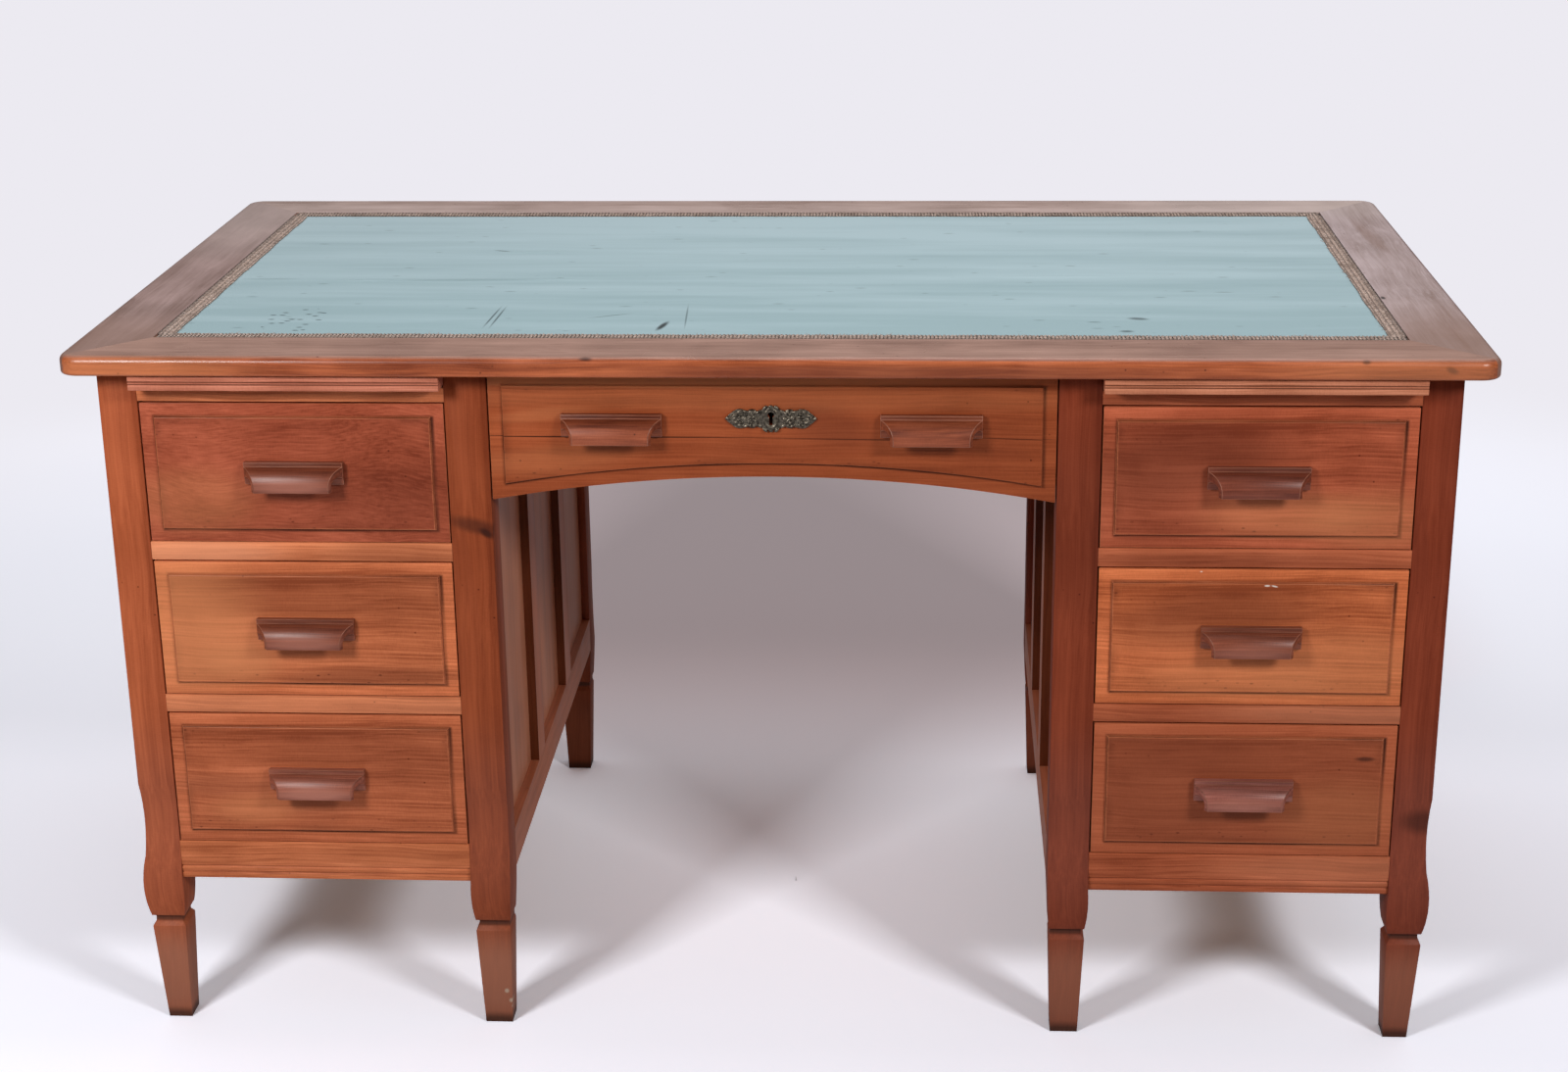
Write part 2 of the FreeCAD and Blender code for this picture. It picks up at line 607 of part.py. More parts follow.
# Pulls: a moulded strip with a rounded face, hollow below, its ends cut back
def pull(x, z_top):
    """A pull on a raised field, centred on x, with its top at z_top."""

    def at(out, drop):
        return Vector(x - PULL_WIDTH / 2, FIELD_FACE - out, z_top - drop)

    def line(a, b):
        return Part.makeLine(at(*a), at(*b))

    ledge = (PULL_LEDGE_DEPTH, PULL_LEDGE_HEIGHT)
    face_top = (PULL_LEDGE_DEPTH + PULL_STEP, PULL_LEDGE_HEIGHT)
    face_end = (PULL_DEPTH, PULL_HEIGHT - PULL_LIP_HEIGHT)
    reach, fall = face_end[0] - face_top[0], face_end[1] - face_top[1]
    bulge = (face_top[0] + 0.68 * reach, face_top[1] + 0.32 * fall)
    lip_back = (PULL_DEPTH - PULL_LIP_THICKNESS, PULL_HEIGHT)
    hollow_radius = (lip_back[0] - PULL_BACK_THICKNESS) / 2
    hollow_top = PULL_HEIGHT - PULL_HOLLOW_HEIGHT
    hollow_crown = (PULL_BACK_THICKNESS + hollow_radius, hollow_top)
    hollow_out = (lip_back[0], hollow_top + hollow_radius)
    hollow_in = (PULL_BACK_THICKNESS, hollow_top + hollow_radius)
    heel = (PULL_BACK_THICKNESS, PULL_HEIGHT - PULL_HEEL_RISE)
    edges = [
        line((0, 0), (PULL_LEDGE_DEPTH, 0)),
        line((PULL_LEDGE_DEPTH, 0), ledge),
        line(ledge, face_top),
        Part.Arc(at(*face_top), at(*bulge), at(*face_end)).toShape(),
        line(face_end, (PULL_DEPTH, PULL_HEIGHT)),
        line((PULL_DEPTH, PULL_HEIGHT), lip_back),
        line(lip_back, hollow_out),
        Part.Arc(at(*hollow_out), at(*hollow_crown), at(*hollow_in)).toShape(),
        line(hollow_in, heel),
        line(heel, (0, heel[1])),
        line((0, heel[1]), (0, 0)),
    ]
    body = Part.Face(Part.Wire(edges)).extrude(Vector(PULL_WIDTH, 0, 0))
    low = z_top - PULL_HEIGHT
    for side in (-1, 1):
        end = x + side * PULL_WIDTH / 2
        wedge = prism(
            [
                Vector(end, FIELD_FACE - PULL_LEDGE_DEPTH, low),
                Vector(end, FIELD_FACE - PULL_DEPTH, low),
                Vector(end - side * PULL_END_CUT, FIELD_FACE - PULL_DEPTH, low),
            ],
            Vector(0, 0, PULL_HEIGHT),
        )
        body = body.cut(wedge)
    return body.Solids[0]


# Writing slide of the right pedestal
def slide():
    half = BAY_WIDTH / 2 - SIDE_CLEARANCE
    z0 = SLOT_FLOOR + RUNNING_LIFT
    x0, x1 = BAY_MIDDLE - half, BAY_MIDDLE + half
    board = box(x0, x1, FRONT, FRONT + SLIDE_DEPTH, z0, z0 + SLIDE_THICKNESS)
    top = TOP_UNDERSIDE - LIP_DROP
    face = FRONT - LIP_PROJECTION
    lip = box(BAY_IN, BAY_OUT, face, FRONT, top - LIP_HEIGHT, top)
    for i in (0, 1):
        z = top - LIP_GROOVE_DROP - i * LIP_GROOVE_PITCH
        groove = prism(
            [
                Vector(BAY_IN, face, z - LIP_GROOVE / 2),
                Vector(BAY_IN, face + LIP_GROOVE, z),
                Vector(BAY_IN, face, z + LIP_GROOVE / 2),
            ],
            Vector(BAY_WIDTH, 0, 0),
        )
        lip = lip.cut(groove)
    return board, lip


# Escutcheon and lock
def scroll_plate():
    """A pierced plate with a pointed middle and lobed arms, from one quarter of its outline."""
    w, h = PLATE_HALF_WIDTH, PLATE_HALF_HEIGHT
    quarter = [
        ((0.00, 1.00), (0.04, 0.92), (0.06, 0.80)),
        ((0.06, 0.80), (0.19, 0.65), (0.28, 0.32)),
        ((0.28, 0.32), (0.39, 0.69), (0.52, 0.51)),
        ((0.52, 0.51), (0.70, 0.70), (0.85, 0.44)),
        ((0.85, 0.44), (0.95, 0.18), (1.00, 0.00)),
    ]
    edges = []
    for sx, sz in ((1, 1), (1, -1), (-1, -1), (-1, 1)):
        for arc in quarter:
            points = [Vector(sx * a * w, FIELD_FACE, PLATE_Z + sz * b * h) for a, b in arc]
            edges.append(Part.Arc(*points).toShape())
    outline = Part.Face(Part.Wire(Part.__sortEdges__(edges)))
    return outline.extrude(Vector(0, -PLATE_THICKNESS, 0))


def keyhole(y0, y1):
    """The keyhole as a solid from y0 to y1."""
    round_part = cylinder(KEYHOLE_RADIUS, y1 - y0, Vector(0, y0, KEYHOLE_Z), Vector(0, 1, 0))
    half = KEYHOLE_SLOT_WIDTH / 2
    slot = box(-half, half, y0, y1, KEYHOLE_Z - KEYHOLE_SLOT_LENGTH, KEYHOLE_Z)
    return round_part.fuse(slot)


def pins(spare):
    """The two pins of the escutcheon, grown by spare for their holes."""
    made = []
    for x in (-PIN_OFFSET, PIN_OFFSET):
        face = FIELD_FACE - PLATE_THICKNESS
        into = Vector(0, 1, 0)
        shank = cylinder(PIN_RADIUS + spare, PIN_LENGTH + spare, Vector(x, face, PLATE_Z), into)
        head = cylinder(1.6 * PIN_RADIUS, PIN_HEAD_HEIGHT, Vector(x, face - PIN_HEAD_HEIGHT, PLATE_Z), into)
        made.append(shank.fuse(head).removeSplitter())
    return made


nodes = {}

# Top
core = core_board()
slab_ring = top_slab().cut(
    box(-OPENING_HALF_X, OPENING_HALF_X, -OPENING_HALF_Y, OPENING_HALF_Y, TOP_UNDERSIDE, TOP_SURFACE)
)
bolt_slot = box(
    -BOLT_WIDTH / 2 - 2 * BOLT_CLEARANCE,
    BOLT_WIDTH / 2 + 2 * BOLT_CLEARANCE,
    BOLT_Y - BOLT_THICKNESS / 2 - 2 * BOLT_CLEARANCE,
    BOLT_Y + BOLT_THICKNESS / 2 + 2 * BOLT_CLEARANCE,
    TOP_UNDERSIDE,
    TOP_UNDERSIDE + BOLT_TRAVEL,
)
screw_spots = screw_places()
screw_holes = Part.makeCompound([screw_hole(p) for p in screw_spots])
all_holes = Part.makeCompound([screw_holes, mirrored(screw_holes)])
slab_ring = slab_ring.cut(core).cut(bolt_slot).cut(all_holes)
wedges = mitred(TOP_HALF_X, TOP_HALF_Y, OPENING_HALF_X, OPENING_HALF_Y, TOP_UNDERSIDE, TOP_SURFACE)
for place, wedge in wedges.items():
    nodes[f"top_{place}_rail"] = slab_ring.common(wedge)
nodes["top_core_board"] = core.cut(all_holes)

braid_x, braid_y = OPENING_HALF_X - BRAID_GAP, OPENING_HALF_Y - BRAID_GAP
cloth_x, cloth_y = braid_x - BRAID_WIDTH, braid_y - BRAID_WIDTH
nodes["writing_surface"] = box(-cloth_x, cloth_x, -cloth_y, cloth_y, CORE_TOP, CORE_TOP + CLOTH_THICKNESS)
braid = mitred(braid_x, braid_y, cloth_x, cloth_y, CORE_TOP, CORE_TOP + BRAID_THICKNESS)
nodes["edge_braid"] = Part.makeCompound(list(braid.values()))

# Pedestals
outer_frame, outer_panels = side_frame(PEDESTAL_OUT, -1)
inner_frame, inner_panels = side_frame(PEDESTAL_IN, 1)
rear_frame, rear_panels = back_frame()
fronts = front_rails()
apron = rail_along_x(
    -PEDESTAL_IN,
    PEDESTAL_IN,
    APRON_FRONT,
    APRON_FRONT + APRON_THICKNESS,
    TOP_UNDERSIDE - APRON_HEIGHT,
    TOP_UNDERSIDE,
)
joints = Part.makeCompound(
    outer_frame + outer_panels + inner_frame + inner_panels + rear_frame + rear_panels + fronts + [apron]
)
posts = {
    "outer_front_post": post(PEDESTAL_OUT, -1, FRONT, 1, OUTER_POST_WIDTH, True),
    "inner_front_post": post(PEDESTAL_IN, 1, FRONT, 1, INNER_POST_WIDTH, False),
    "outer_back_post": post(PEDESTAL_OUT, -1, BACK, -1, OUTER_POST_WIDTH, True),
    "inner_back_post": post(PEDESTAL_IN, 1, BACK, -1, INNER_POST_WIDTH, False),
}
for name, solid in posts.items():
    side_named(name, solid.cut(joints).Solids[0], nodes)
side_named("outer_side_frame", Part.makeCompound(outer_frame), nodes)
side_named("outer_side_panels", Part.makeCompound(outer_panels), nodes)
side_named("inner_side_frame", Part.makeCompound(inner_frame), nodes)
side_named("inner_side_panels", Part.makeCompound(inner_panels), nodes)
side_named("back_frame", Part.makeCompound(rear_frame), nodes)
nodes["back_panels"] = Part.makeCompound(rear_panels + [mirrored(p) for p in rear_panels])
side_named("front_rails", Part.makeCompound(fronts), nodes)
nodes["kneehole_back_apron"] = apron

# Runners and screws
strips = fitted(runners(), screw_holes)
nodes["drawer_runners"] = Part.makeCompound(strips + [mirrored(s) for s in strips])
screws = [screw(p, 0) for p in screw_spots]
nodes["top_screws"] = Part.makeCompound(screws + [mirrored(s) for s in screws])
centre_runner = box(
    PEDESTAL_IN - RUNNER_REACH,
    PEDESTAL_IN,
    FRONT_BACK + SIDE_CLEARANCE,
    POST_FRONT_OF_BACK,
    CENTRE_SIDE_BOTTOM - RUNNING_LIFT - RUNNER_HEIGHT,
    CENTRE_SIDE_BOTTOM - RUNNING_LIFT,
)
nodes["centre_drawer_runners"] = Part.makeCompound([centre_runner, mirrored(centre_runner)])

# Writing slides
board, lip = slide()
side_named("slide_board", board, nodes)
side_named("slide_lip", lip, nodes)

# Pedestal drawers
for level, z in LEVELS.items():
    pieces = drawer_box(
        BAY_WIDTH / 2 - SIDE_CLEARANCE, BAY_MIDDLE, z + RUNNING_LIFT, DRAWER_SIDE_HEIGHT, DRAWER_DEPTH
    )
    front = pedestal_front(z).cut(Part.makeCompound(pieces)).Solids[0]
    field_middle = z + (FRONT_LIFT + DRAWER_OPENING - TOP_CLEARANCE) / 2
    side_named(f"{level}_drawer_front", front, nodes)
    side_named(f"{level}_drawer_box", Part.makeCompound(pieces), nodes)
    side_named(f"{level}_drawer_pull", pull(BAY_MIDDLE, field_middle + PULL_HEIGHT / 2), nodes)

# Centre drawer with its lock
centre_pieces = drawer_box(
    PEDESTAL_IN - SIDE_CLEARANCE, 0, CENTRE_SIDE_BOTTOM, CENTRE_SIDE_HEIGHT, CENTRE_DEPTH
)
pin_holes = Part.makeCompound(pins(PIN_CLEARANCE))
key_way = keyhole(FIELD_FACE - PLATE_THICKNESS, FRONT_BACK + LOCK_THICKNESS / 2)
centre = centre_front().cut(Part.makeCompound(centre_pieces)).cut(key_way).cut(pin_holes)
nodes["centre_drawer_front"] = centre.Solids[0]
nodes["centre_drawer_box"] = Part.makeCompound(centre_pieces)
pull_x = CENTRE_PULL_SPACING / 2
pull_top = CENTRE_TOP - CENTRE_PULL_DROP
nodes["centre_drawer_pulls"] = Part.makeCompound([pull(-pull_x, pull_top), pull(pull_x, pull_top)])
plate = scroll_plate().cut(key_way).cut(pin_holes)
nodes["escutcheon"] = Part.makeCompound([plate.Solids[0]] + pins(0))

lock = box(
    -LOCK_WIDTH / 2,
    LOCK_WIDTH / 2,
    FRONT_BACK,
    FRONT_BACK + LOCK_THICKNESS,
    CENTRE_TOP - LOCK_HEIGHT,
    CENTRE_TOP,
)
channel = box(
    -BOLT_WIDTH / 2 - BOLT_CLEARANCE,
    BOLT_WIDTH / 2 + BOLT_CLEARANCE,
    BOLT_Y - BOLT_THICKNESS / 2 - BOLT_CLEARANCE,
    BOLT_Y + BOLT_THICKNESS / 2 + BOLT_CLEARANCE,
    CENTRE_TOP - BOLT_LENGTH - BOLT_CLEARANCE,
    CENTRE_TOP,
)
nodes["lock_case"] = lock.cut(channel).cut(key_way).Solids[0]
nodes["lock_bolt"] = box(
    -BOLT_WIDTH / 2,
    BOLT_WIDTH / 2,
    BOLT_Y - BOLT_THICKNESS / 2,
    BOLT_Y + BOLT_THICKNESS / 2,
    CENTRE_TOP - BOLT_LENGTH,
    CENTRE_TOP,
)

os.makedirs("parts", exist_ok=True)
for name, shape in nodes.items():
    shape.exportStep(f"parts/{name}.step")
    print(name, len(shape.Solids), shape.isValid(), round(shape.Volume))
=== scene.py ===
import json
import math
import random

import bpy
from mathutils import Matrix, Vector

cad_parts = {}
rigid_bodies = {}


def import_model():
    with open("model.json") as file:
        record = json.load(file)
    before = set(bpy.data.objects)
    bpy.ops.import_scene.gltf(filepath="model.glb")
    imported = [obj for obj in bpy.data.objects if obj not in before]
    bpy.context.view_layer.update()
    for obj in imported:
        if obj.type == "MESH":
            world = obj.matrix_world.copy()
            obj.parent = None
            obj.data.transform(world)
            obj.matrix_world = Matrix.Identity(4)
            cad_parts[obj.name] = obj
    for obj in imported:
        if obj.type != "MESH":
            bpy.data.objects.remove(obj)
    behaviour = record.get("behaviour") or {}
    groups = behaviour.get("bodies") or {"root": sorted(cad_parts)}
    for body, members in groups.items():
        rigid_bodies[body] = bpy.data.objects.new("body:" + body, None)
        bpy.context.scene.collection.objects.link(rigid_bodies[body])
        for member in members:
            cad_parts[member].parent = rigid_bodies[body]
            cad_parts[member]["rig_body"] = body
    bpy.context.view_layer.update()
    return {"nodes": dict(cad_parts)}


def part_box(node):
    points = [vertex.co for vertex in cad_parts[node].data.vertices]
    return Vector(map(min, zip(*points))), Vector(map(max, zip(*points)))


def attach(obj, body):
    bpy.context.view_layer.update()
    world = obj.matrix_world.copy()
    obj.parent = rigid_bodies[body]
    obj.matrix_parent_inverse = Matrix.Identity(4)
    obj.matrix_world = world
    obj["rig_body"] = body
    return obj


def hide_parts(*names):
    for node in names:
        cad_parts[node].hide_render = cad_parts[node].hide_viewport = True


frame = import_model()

nodes = frame["nodes"]
scene = bpy.context.scene
scene.view_settings.view_transform = "Standard"

# The camera stands a little right of the middle at eye height and looks down on the desk.
# Its place, turn and lens are worked out from the desk's own straight lines.
SENSOR_WIDTH = 36.0
IMAGE_WIDTH = 1600
FOCAL_PIXELS = 2596.8
CAMERA_PLACE = (0.1576, -2.8664, 1.4379)
LOOK_DOWN = math.radians(18.897)
LOOK_LEFT = math.radians(3.116)
CAMERA_ROLL = math.radians(0.655)
bpy.ops.object.camera_add(
    location=CAMERA_PLACE, rotation=(math.pi / 2 - LOOK_DOWN, CAMERA_ROLL, LOOK_LEFT))
camera = bpy.context.object
camera.data.sensor_width = SENSOR_WIDTH
camera.data.lens = SENSOR_WIDTH * FOCAL_PIXELS / IMAGE_WIDTH
scene.camera = camera

# The studio: a wide white paper floor lit by three soft boxes, the upper one flagged off the paper.
# To the camera the paper keeps its shadows round the desk and runs out to plain white all round.
PAPER_WHITE = "#F0F1FA"
PAPER_DULL = "#ECEDF7"
FAR_WHITE = "#ECEAF1"
SHADE_WARM = "#F9E7EB"
PAPER_CLOUD = 0.5
PAPER_SIZE = 40.0
PAPER_LIFT_NEAR = 1.53
PAPER_LIFT_MIDDLE = 2.10
PAPER_LIFT_FAR = 3.40
PAPER_LIFT_SHADE = 1.32
PAPER_BOUNCE = 0.75
# Stretches of the floor, in metres: in front, behind in the open and in the shade, sideways and far out.
NEAR_RUN = (-0.40, 0.30)
OPEN_RUN = (0.50, 1.90)
SHADE_RUN = (0.35, 0.90)
WARM_RUN = (0.20, 0.80)
SIDE_RUN = (0.50, 1.10)
FAR_RUN = (1.7, 2.8)


def linear(hex_colour):
    parts = [int(hex_colour[i:i + 2], 16) / 255 for i in (1, 3, 5)]
    return tuple(c / 12.92 if c <= 0.04045 else ((c + 0.055) / 1.055) ** 2.4 for c in parts) + (1.0,)


def add(tree, kind, links, **settings):
    node = tree.nodes.new("ShaderNode" + kind)
    for setting, value in settings.items():
        setattr(node, setting, value)
    for socket, source in links.items():
        if isinstance(source, bpy.types.NodeSocket):
            tree.links.new(source, node.inputs[socket])
        else:
            node.inputs[socket].default_value = source
    return node


def new_material(name):
    material = bpy.data.materials.new(name)
    material.use_nodes = True
    material.node_tree.nodes.clear()
    return material, material.node_tree


# Studio paper: matt and nearly even, clouded a little, so that the desk's shadows are what shows on it.
paper, tree = new_material("studio_paper")
where = add(tree, "TexCoord", {}).outputs["Object"]
clouding = add(tree, "TexNoise", {"Vector": where, "Scale": 1 / PAPER_CLOUD, "Detail": 2.0})
paper_tone = add(tree, "ValToRGB", {"Fac": clouding.outputs["Fac"]})
paper_tone.color_ramp.elements[0].color = linear(PAPER_DULL)
paper_tone.color_ramp.elements[1].color = linear(PAPER_WHITE)
seen = add(tree, "LightPath", {}).outputs["Is Camera Ray"]
on_floor = add(tree, "SeparateXYZ", {"Vector": where})
near_lift = add(tree, "MapRange", {
    "Value": on_floor.outputs["Y"], "From Min": NEAR_RUN[0], "From Max": NEAR_RUN[1],
    "To Min": PAPER_LIFT_NEAR, "To Max": PAPER_LIFT_MIDDLE,
})
open_lift = add(tree, "MapRange", {
    "Value": on_floor.outputs["Y"], "From Min": OPEN_RUN[0], "From Max": OPEN_RUN[1],
    "To Min": PAPER_LIFT_MIDDLE, "To Max": PAPER_LIFT_FAR,
})
# Behind the desk, in the middle, the paper is lifted less and tinted warmer to the camera: painted shade of
# the desk over its real shadow.
shade_lift = add(tree, "MapRange", {
    "Value": on_floor.outputs["Y"], "From Min": SHADE_RUN[0], "From Max": SHADE_RUN[1],
    "To Min": PAPER_LIFT_MIDDLE, "To Max": PAPER_LIFT_SHADE,
}, interpolation_type="SMOOTHSTEP")
off_middle = add(tree, "Math", {0: on_floor.outputs["X"]}, operation="ABSOLUTE")
in_open = add(tree, "MapRange", {
    "Value": off_middle.outputs[0], "From Min": SIDE_RUN[0], "From Max": SIDE_RUN[1],
}, interpolation_type="SMOOTHSTEP")
back_lift = add(tree, "Mix", {
    0: in_open.outputs["Result"], 2: shade_lift.outputs["Result"], 3: open_lift.outputs["Result"],
}, data_type="FLOAT")
behind = add(tree, "Math", {0: on_floor.outputs["Y"], 1: SHADE_RUN[0]}, operation="GREATER_THAN")
paper_lift = add(tree, "Mix", {
    0: behind.outputs[0], 2: near_lift.outputs["Result"], 3: back_lift.outputs[0],
}, data_type="FLOAT")
paper_level = add(tree, "MapRange", {
    "Value": seen, "To Min": PAPER_BOUNCE, "To Max": paper_lift.outputs[0],
})
in_shade = add(tree, "MapRange", {
    "Value": on_floor.outputs["Y"], "From Min": WARM_RUN[0], "From Max": WARM_RUN[1],
}, interpolation_type="SMOOTHSTEP")
shaded = add(tree, "Math", {
    0: in_shade.outputs["Result"], 1: in_open.outputs["Result"],
}, operation="SUBTRACT", use_clamp=True)
toned = add(tree, "Mix", {
    0: shaded.outputs[0], 6: paper_tone.outputs["Color"], 7: linear(SHADE_WARM),
}, data_type="RGBA")
lifted = add(tree, "VectorMath", {
    0: toned.outputs[2], "Scale": paper_level.outputs["Result"],
}, operation="SCALE")
matt = add(tree, "BsdfDiffuse", {"Color": lifted.outputs["Vector"]})
away = add(tree, "VectorMath", {0: where}, operation="LENGTH")
far_out = add(tree, "MapRange", {
    "Value": away.outputs["Value"], "From Min": FAR_RUN[0], "From Max": FAR_RUN[1],
}, interpolation_type="SMOOTHSTEP")
run_out = add(tree, "Math", {0: far_out.outputs["Result"], 1: seen}, operation="MULTIPLY")
far_paper = add(tree, "Emission", {"Color": linear(FAR_WHITE), "Strength": 1.0})
spread_out = add(tree, "MixShader", {
    0: run_out.outputs[0], 1: matt.outputs["BSDF"], 2: far_paper.outputs["Emission"],
})
add(tree, "OutputMaterial", {"Surface": spread_out.outputs["Shader"]})

bpy.ops.object.select_all(action="DESELECT")
bpy.ops.mesh.primitive_plane_add(size=PAPER_SIZE, location=(0, 0, 0))
floor = bpy.context.object
floor.name = "studio_floor"
floor.data.materials.append(paper)

LIT_POINT = Vector((0.0, -0.2, 0.45))
for side, place, size, watts in (
    ("left", (-1.25, -1.90, 1.62), 0.50, 29.0),
    ("right", (2.0, -2.35, 2.15), 0.60, 45.0),
    ("upper", (0.3, 0.1, 2.70), 1.60, 22.0),
):
    turned = (LIT_POINT - Vector(place)).to_track_quat("-Z", "Y").to_euler()
    bpy.ops.object.light_add(type="AREA", location=place, rotation=turned)
    soft_box = bpy.context.object
    soft_box.name = side + "_soft_box"
    soft_box.data.shape = "SQUARE"
    soft_box.data.size = size
    soft_box.data.energy = watts
flagged_off = bpy.data.collections.new("flagged_off")
flagged_off.objects.link(floor)
for entry in flagged_off.collection_objects:
    entry.light_linking.link_state = "EXCLUDE"
soft_box.light_linking.receiver_collection = flagged_off

# The room: dim in front and low down, brighter behind and above. To the camera it is plain white.
ROOM_TINT = "#FFFFFF"
ROOM_FRONT = 0.10
ROOM_BACK = 0.50
ROOM_LOW = 0.12
world = bpy.data.worlds.new("studio_room")
scene.world = world
world.use_nodes = True
tree = world.node_tree
tree.nodes.clear()
look = add(tree, "TexCoord", {})
in_room = add(tree, "SeparateXYZ", {"Vector": look.outputs["Generated"]})
room_level = add(tree, "MapRange", {
    "Value": in_room.outputs["Y"], "From Min": -0.6, "From Max": 0.8,
    "To Min": ROOM_FRONT, "To Max": ROOM_BACK,
})
room_height = add(tree, "MapRange", {
    "Value": in_room.outputs["Z"], "From Min": 0.10, "From Max": 0.55, "To Min": ROOM_LOW, "To Max": 1.0,
})
room_light = add(tree, "Math", {
    0: room_level.outputs["Result"], 1: room_height.outputs["Result"],
}, operation="MULTIPLY")
seen = add(tree, "LightPath", {}).outputs["Is Camera Ray"]
room = add(tree, "Background", {"Color": linear(ROOM_TINT), "Strength": room_light.outputs[0]})
white = add(tree, "Background", {"Color": linear(FAR_WHITE), "Strength": 1.0})
pick = add(tree, "MixShader", {
    0: seen, 1: room.outputs["Background"], 2: white.outputs["Background"],
})
add(tree, "OutputWorld", {"Surface": pick.outputs["Shader"]})

# Eight square posts of mahogany, each worked in one piece with its leg.
# The leg swells under the rail, is cut in at a neck and tapers to a worn foot.
# The rails and frames are tenoned into them, and every arris is rubbed round by use.
GRAIN_TURN = {"X": (0.0, 0.0, 0.0), "Y": (0.0, 0.0, -math.pi / 2), "Z": (0.0, math.pi / 2, 0.0)}
BAND_WIDTH = 0.032
FIBRE_WIDTH = 0.0020
RAY_WIDTH = 0.0008
WAVE_FACTOR = 20
RAY_WEIGHT = 0.24
PATINA_WIDTH = 0.09
SWAY_LENGTH = 0.16
DENT_SPACING = 0.017
DENT_RADIUS = 0.0014
MARK_CORE = 0.3
MERGE_REACH = 0.00001
FLAT_ANGLE = math.radians(0.4)
SHARP_ANGLE = math.radians(32)
SMOOTH_ANGLE = math.radians(28)
ROUND_STEPS = 2


def shade(hex_colour, share):
    red, green, blue, alpha = linear(hex_colour)
    return (red * share, green * share ** 1.3, blue * share ** 1.5, alpha)


def tinted(tree, colour, tint, cover, *limits):
    for limit in limits:
        cover = add(tree, "Math", {0: cover, 1: limit}, operation="MULTIPLY").outputs[0]
    return add(tree, "Mix", {0: cover, 6: colour, 7: tint}, data_type="RGBA").outputs[2]


def marked(tree, where, colour, marks):
    # A mark is a soft spot, given by its place, half sizes, turn about Y and Z, strength and tint.
    for place, halves, turn, strength, tint in marks:
        spot = add(tree, "Mapping", {
            "Vector": where, "Location": place, "Rotation": (0.0, *turn), "Scale": halves,
        }, vector_type="TEXTURE")
        off = add(tree, "VectorMath", {0: spot.outputs["Vector"]}, operation="LENGTH")
        cover = add(tree, "MapRange", {
            "Value": off.outputs["Value"], "From Min": MARK_CORE, "From Max": 1.0,
            "To Min": strength, "To Max": 0.0,
        }, interpolation_type="SMOOTHSTEP")
        colour = tinted(tree, colour, linear(tint), cover.outputs["Result"])
    return colour


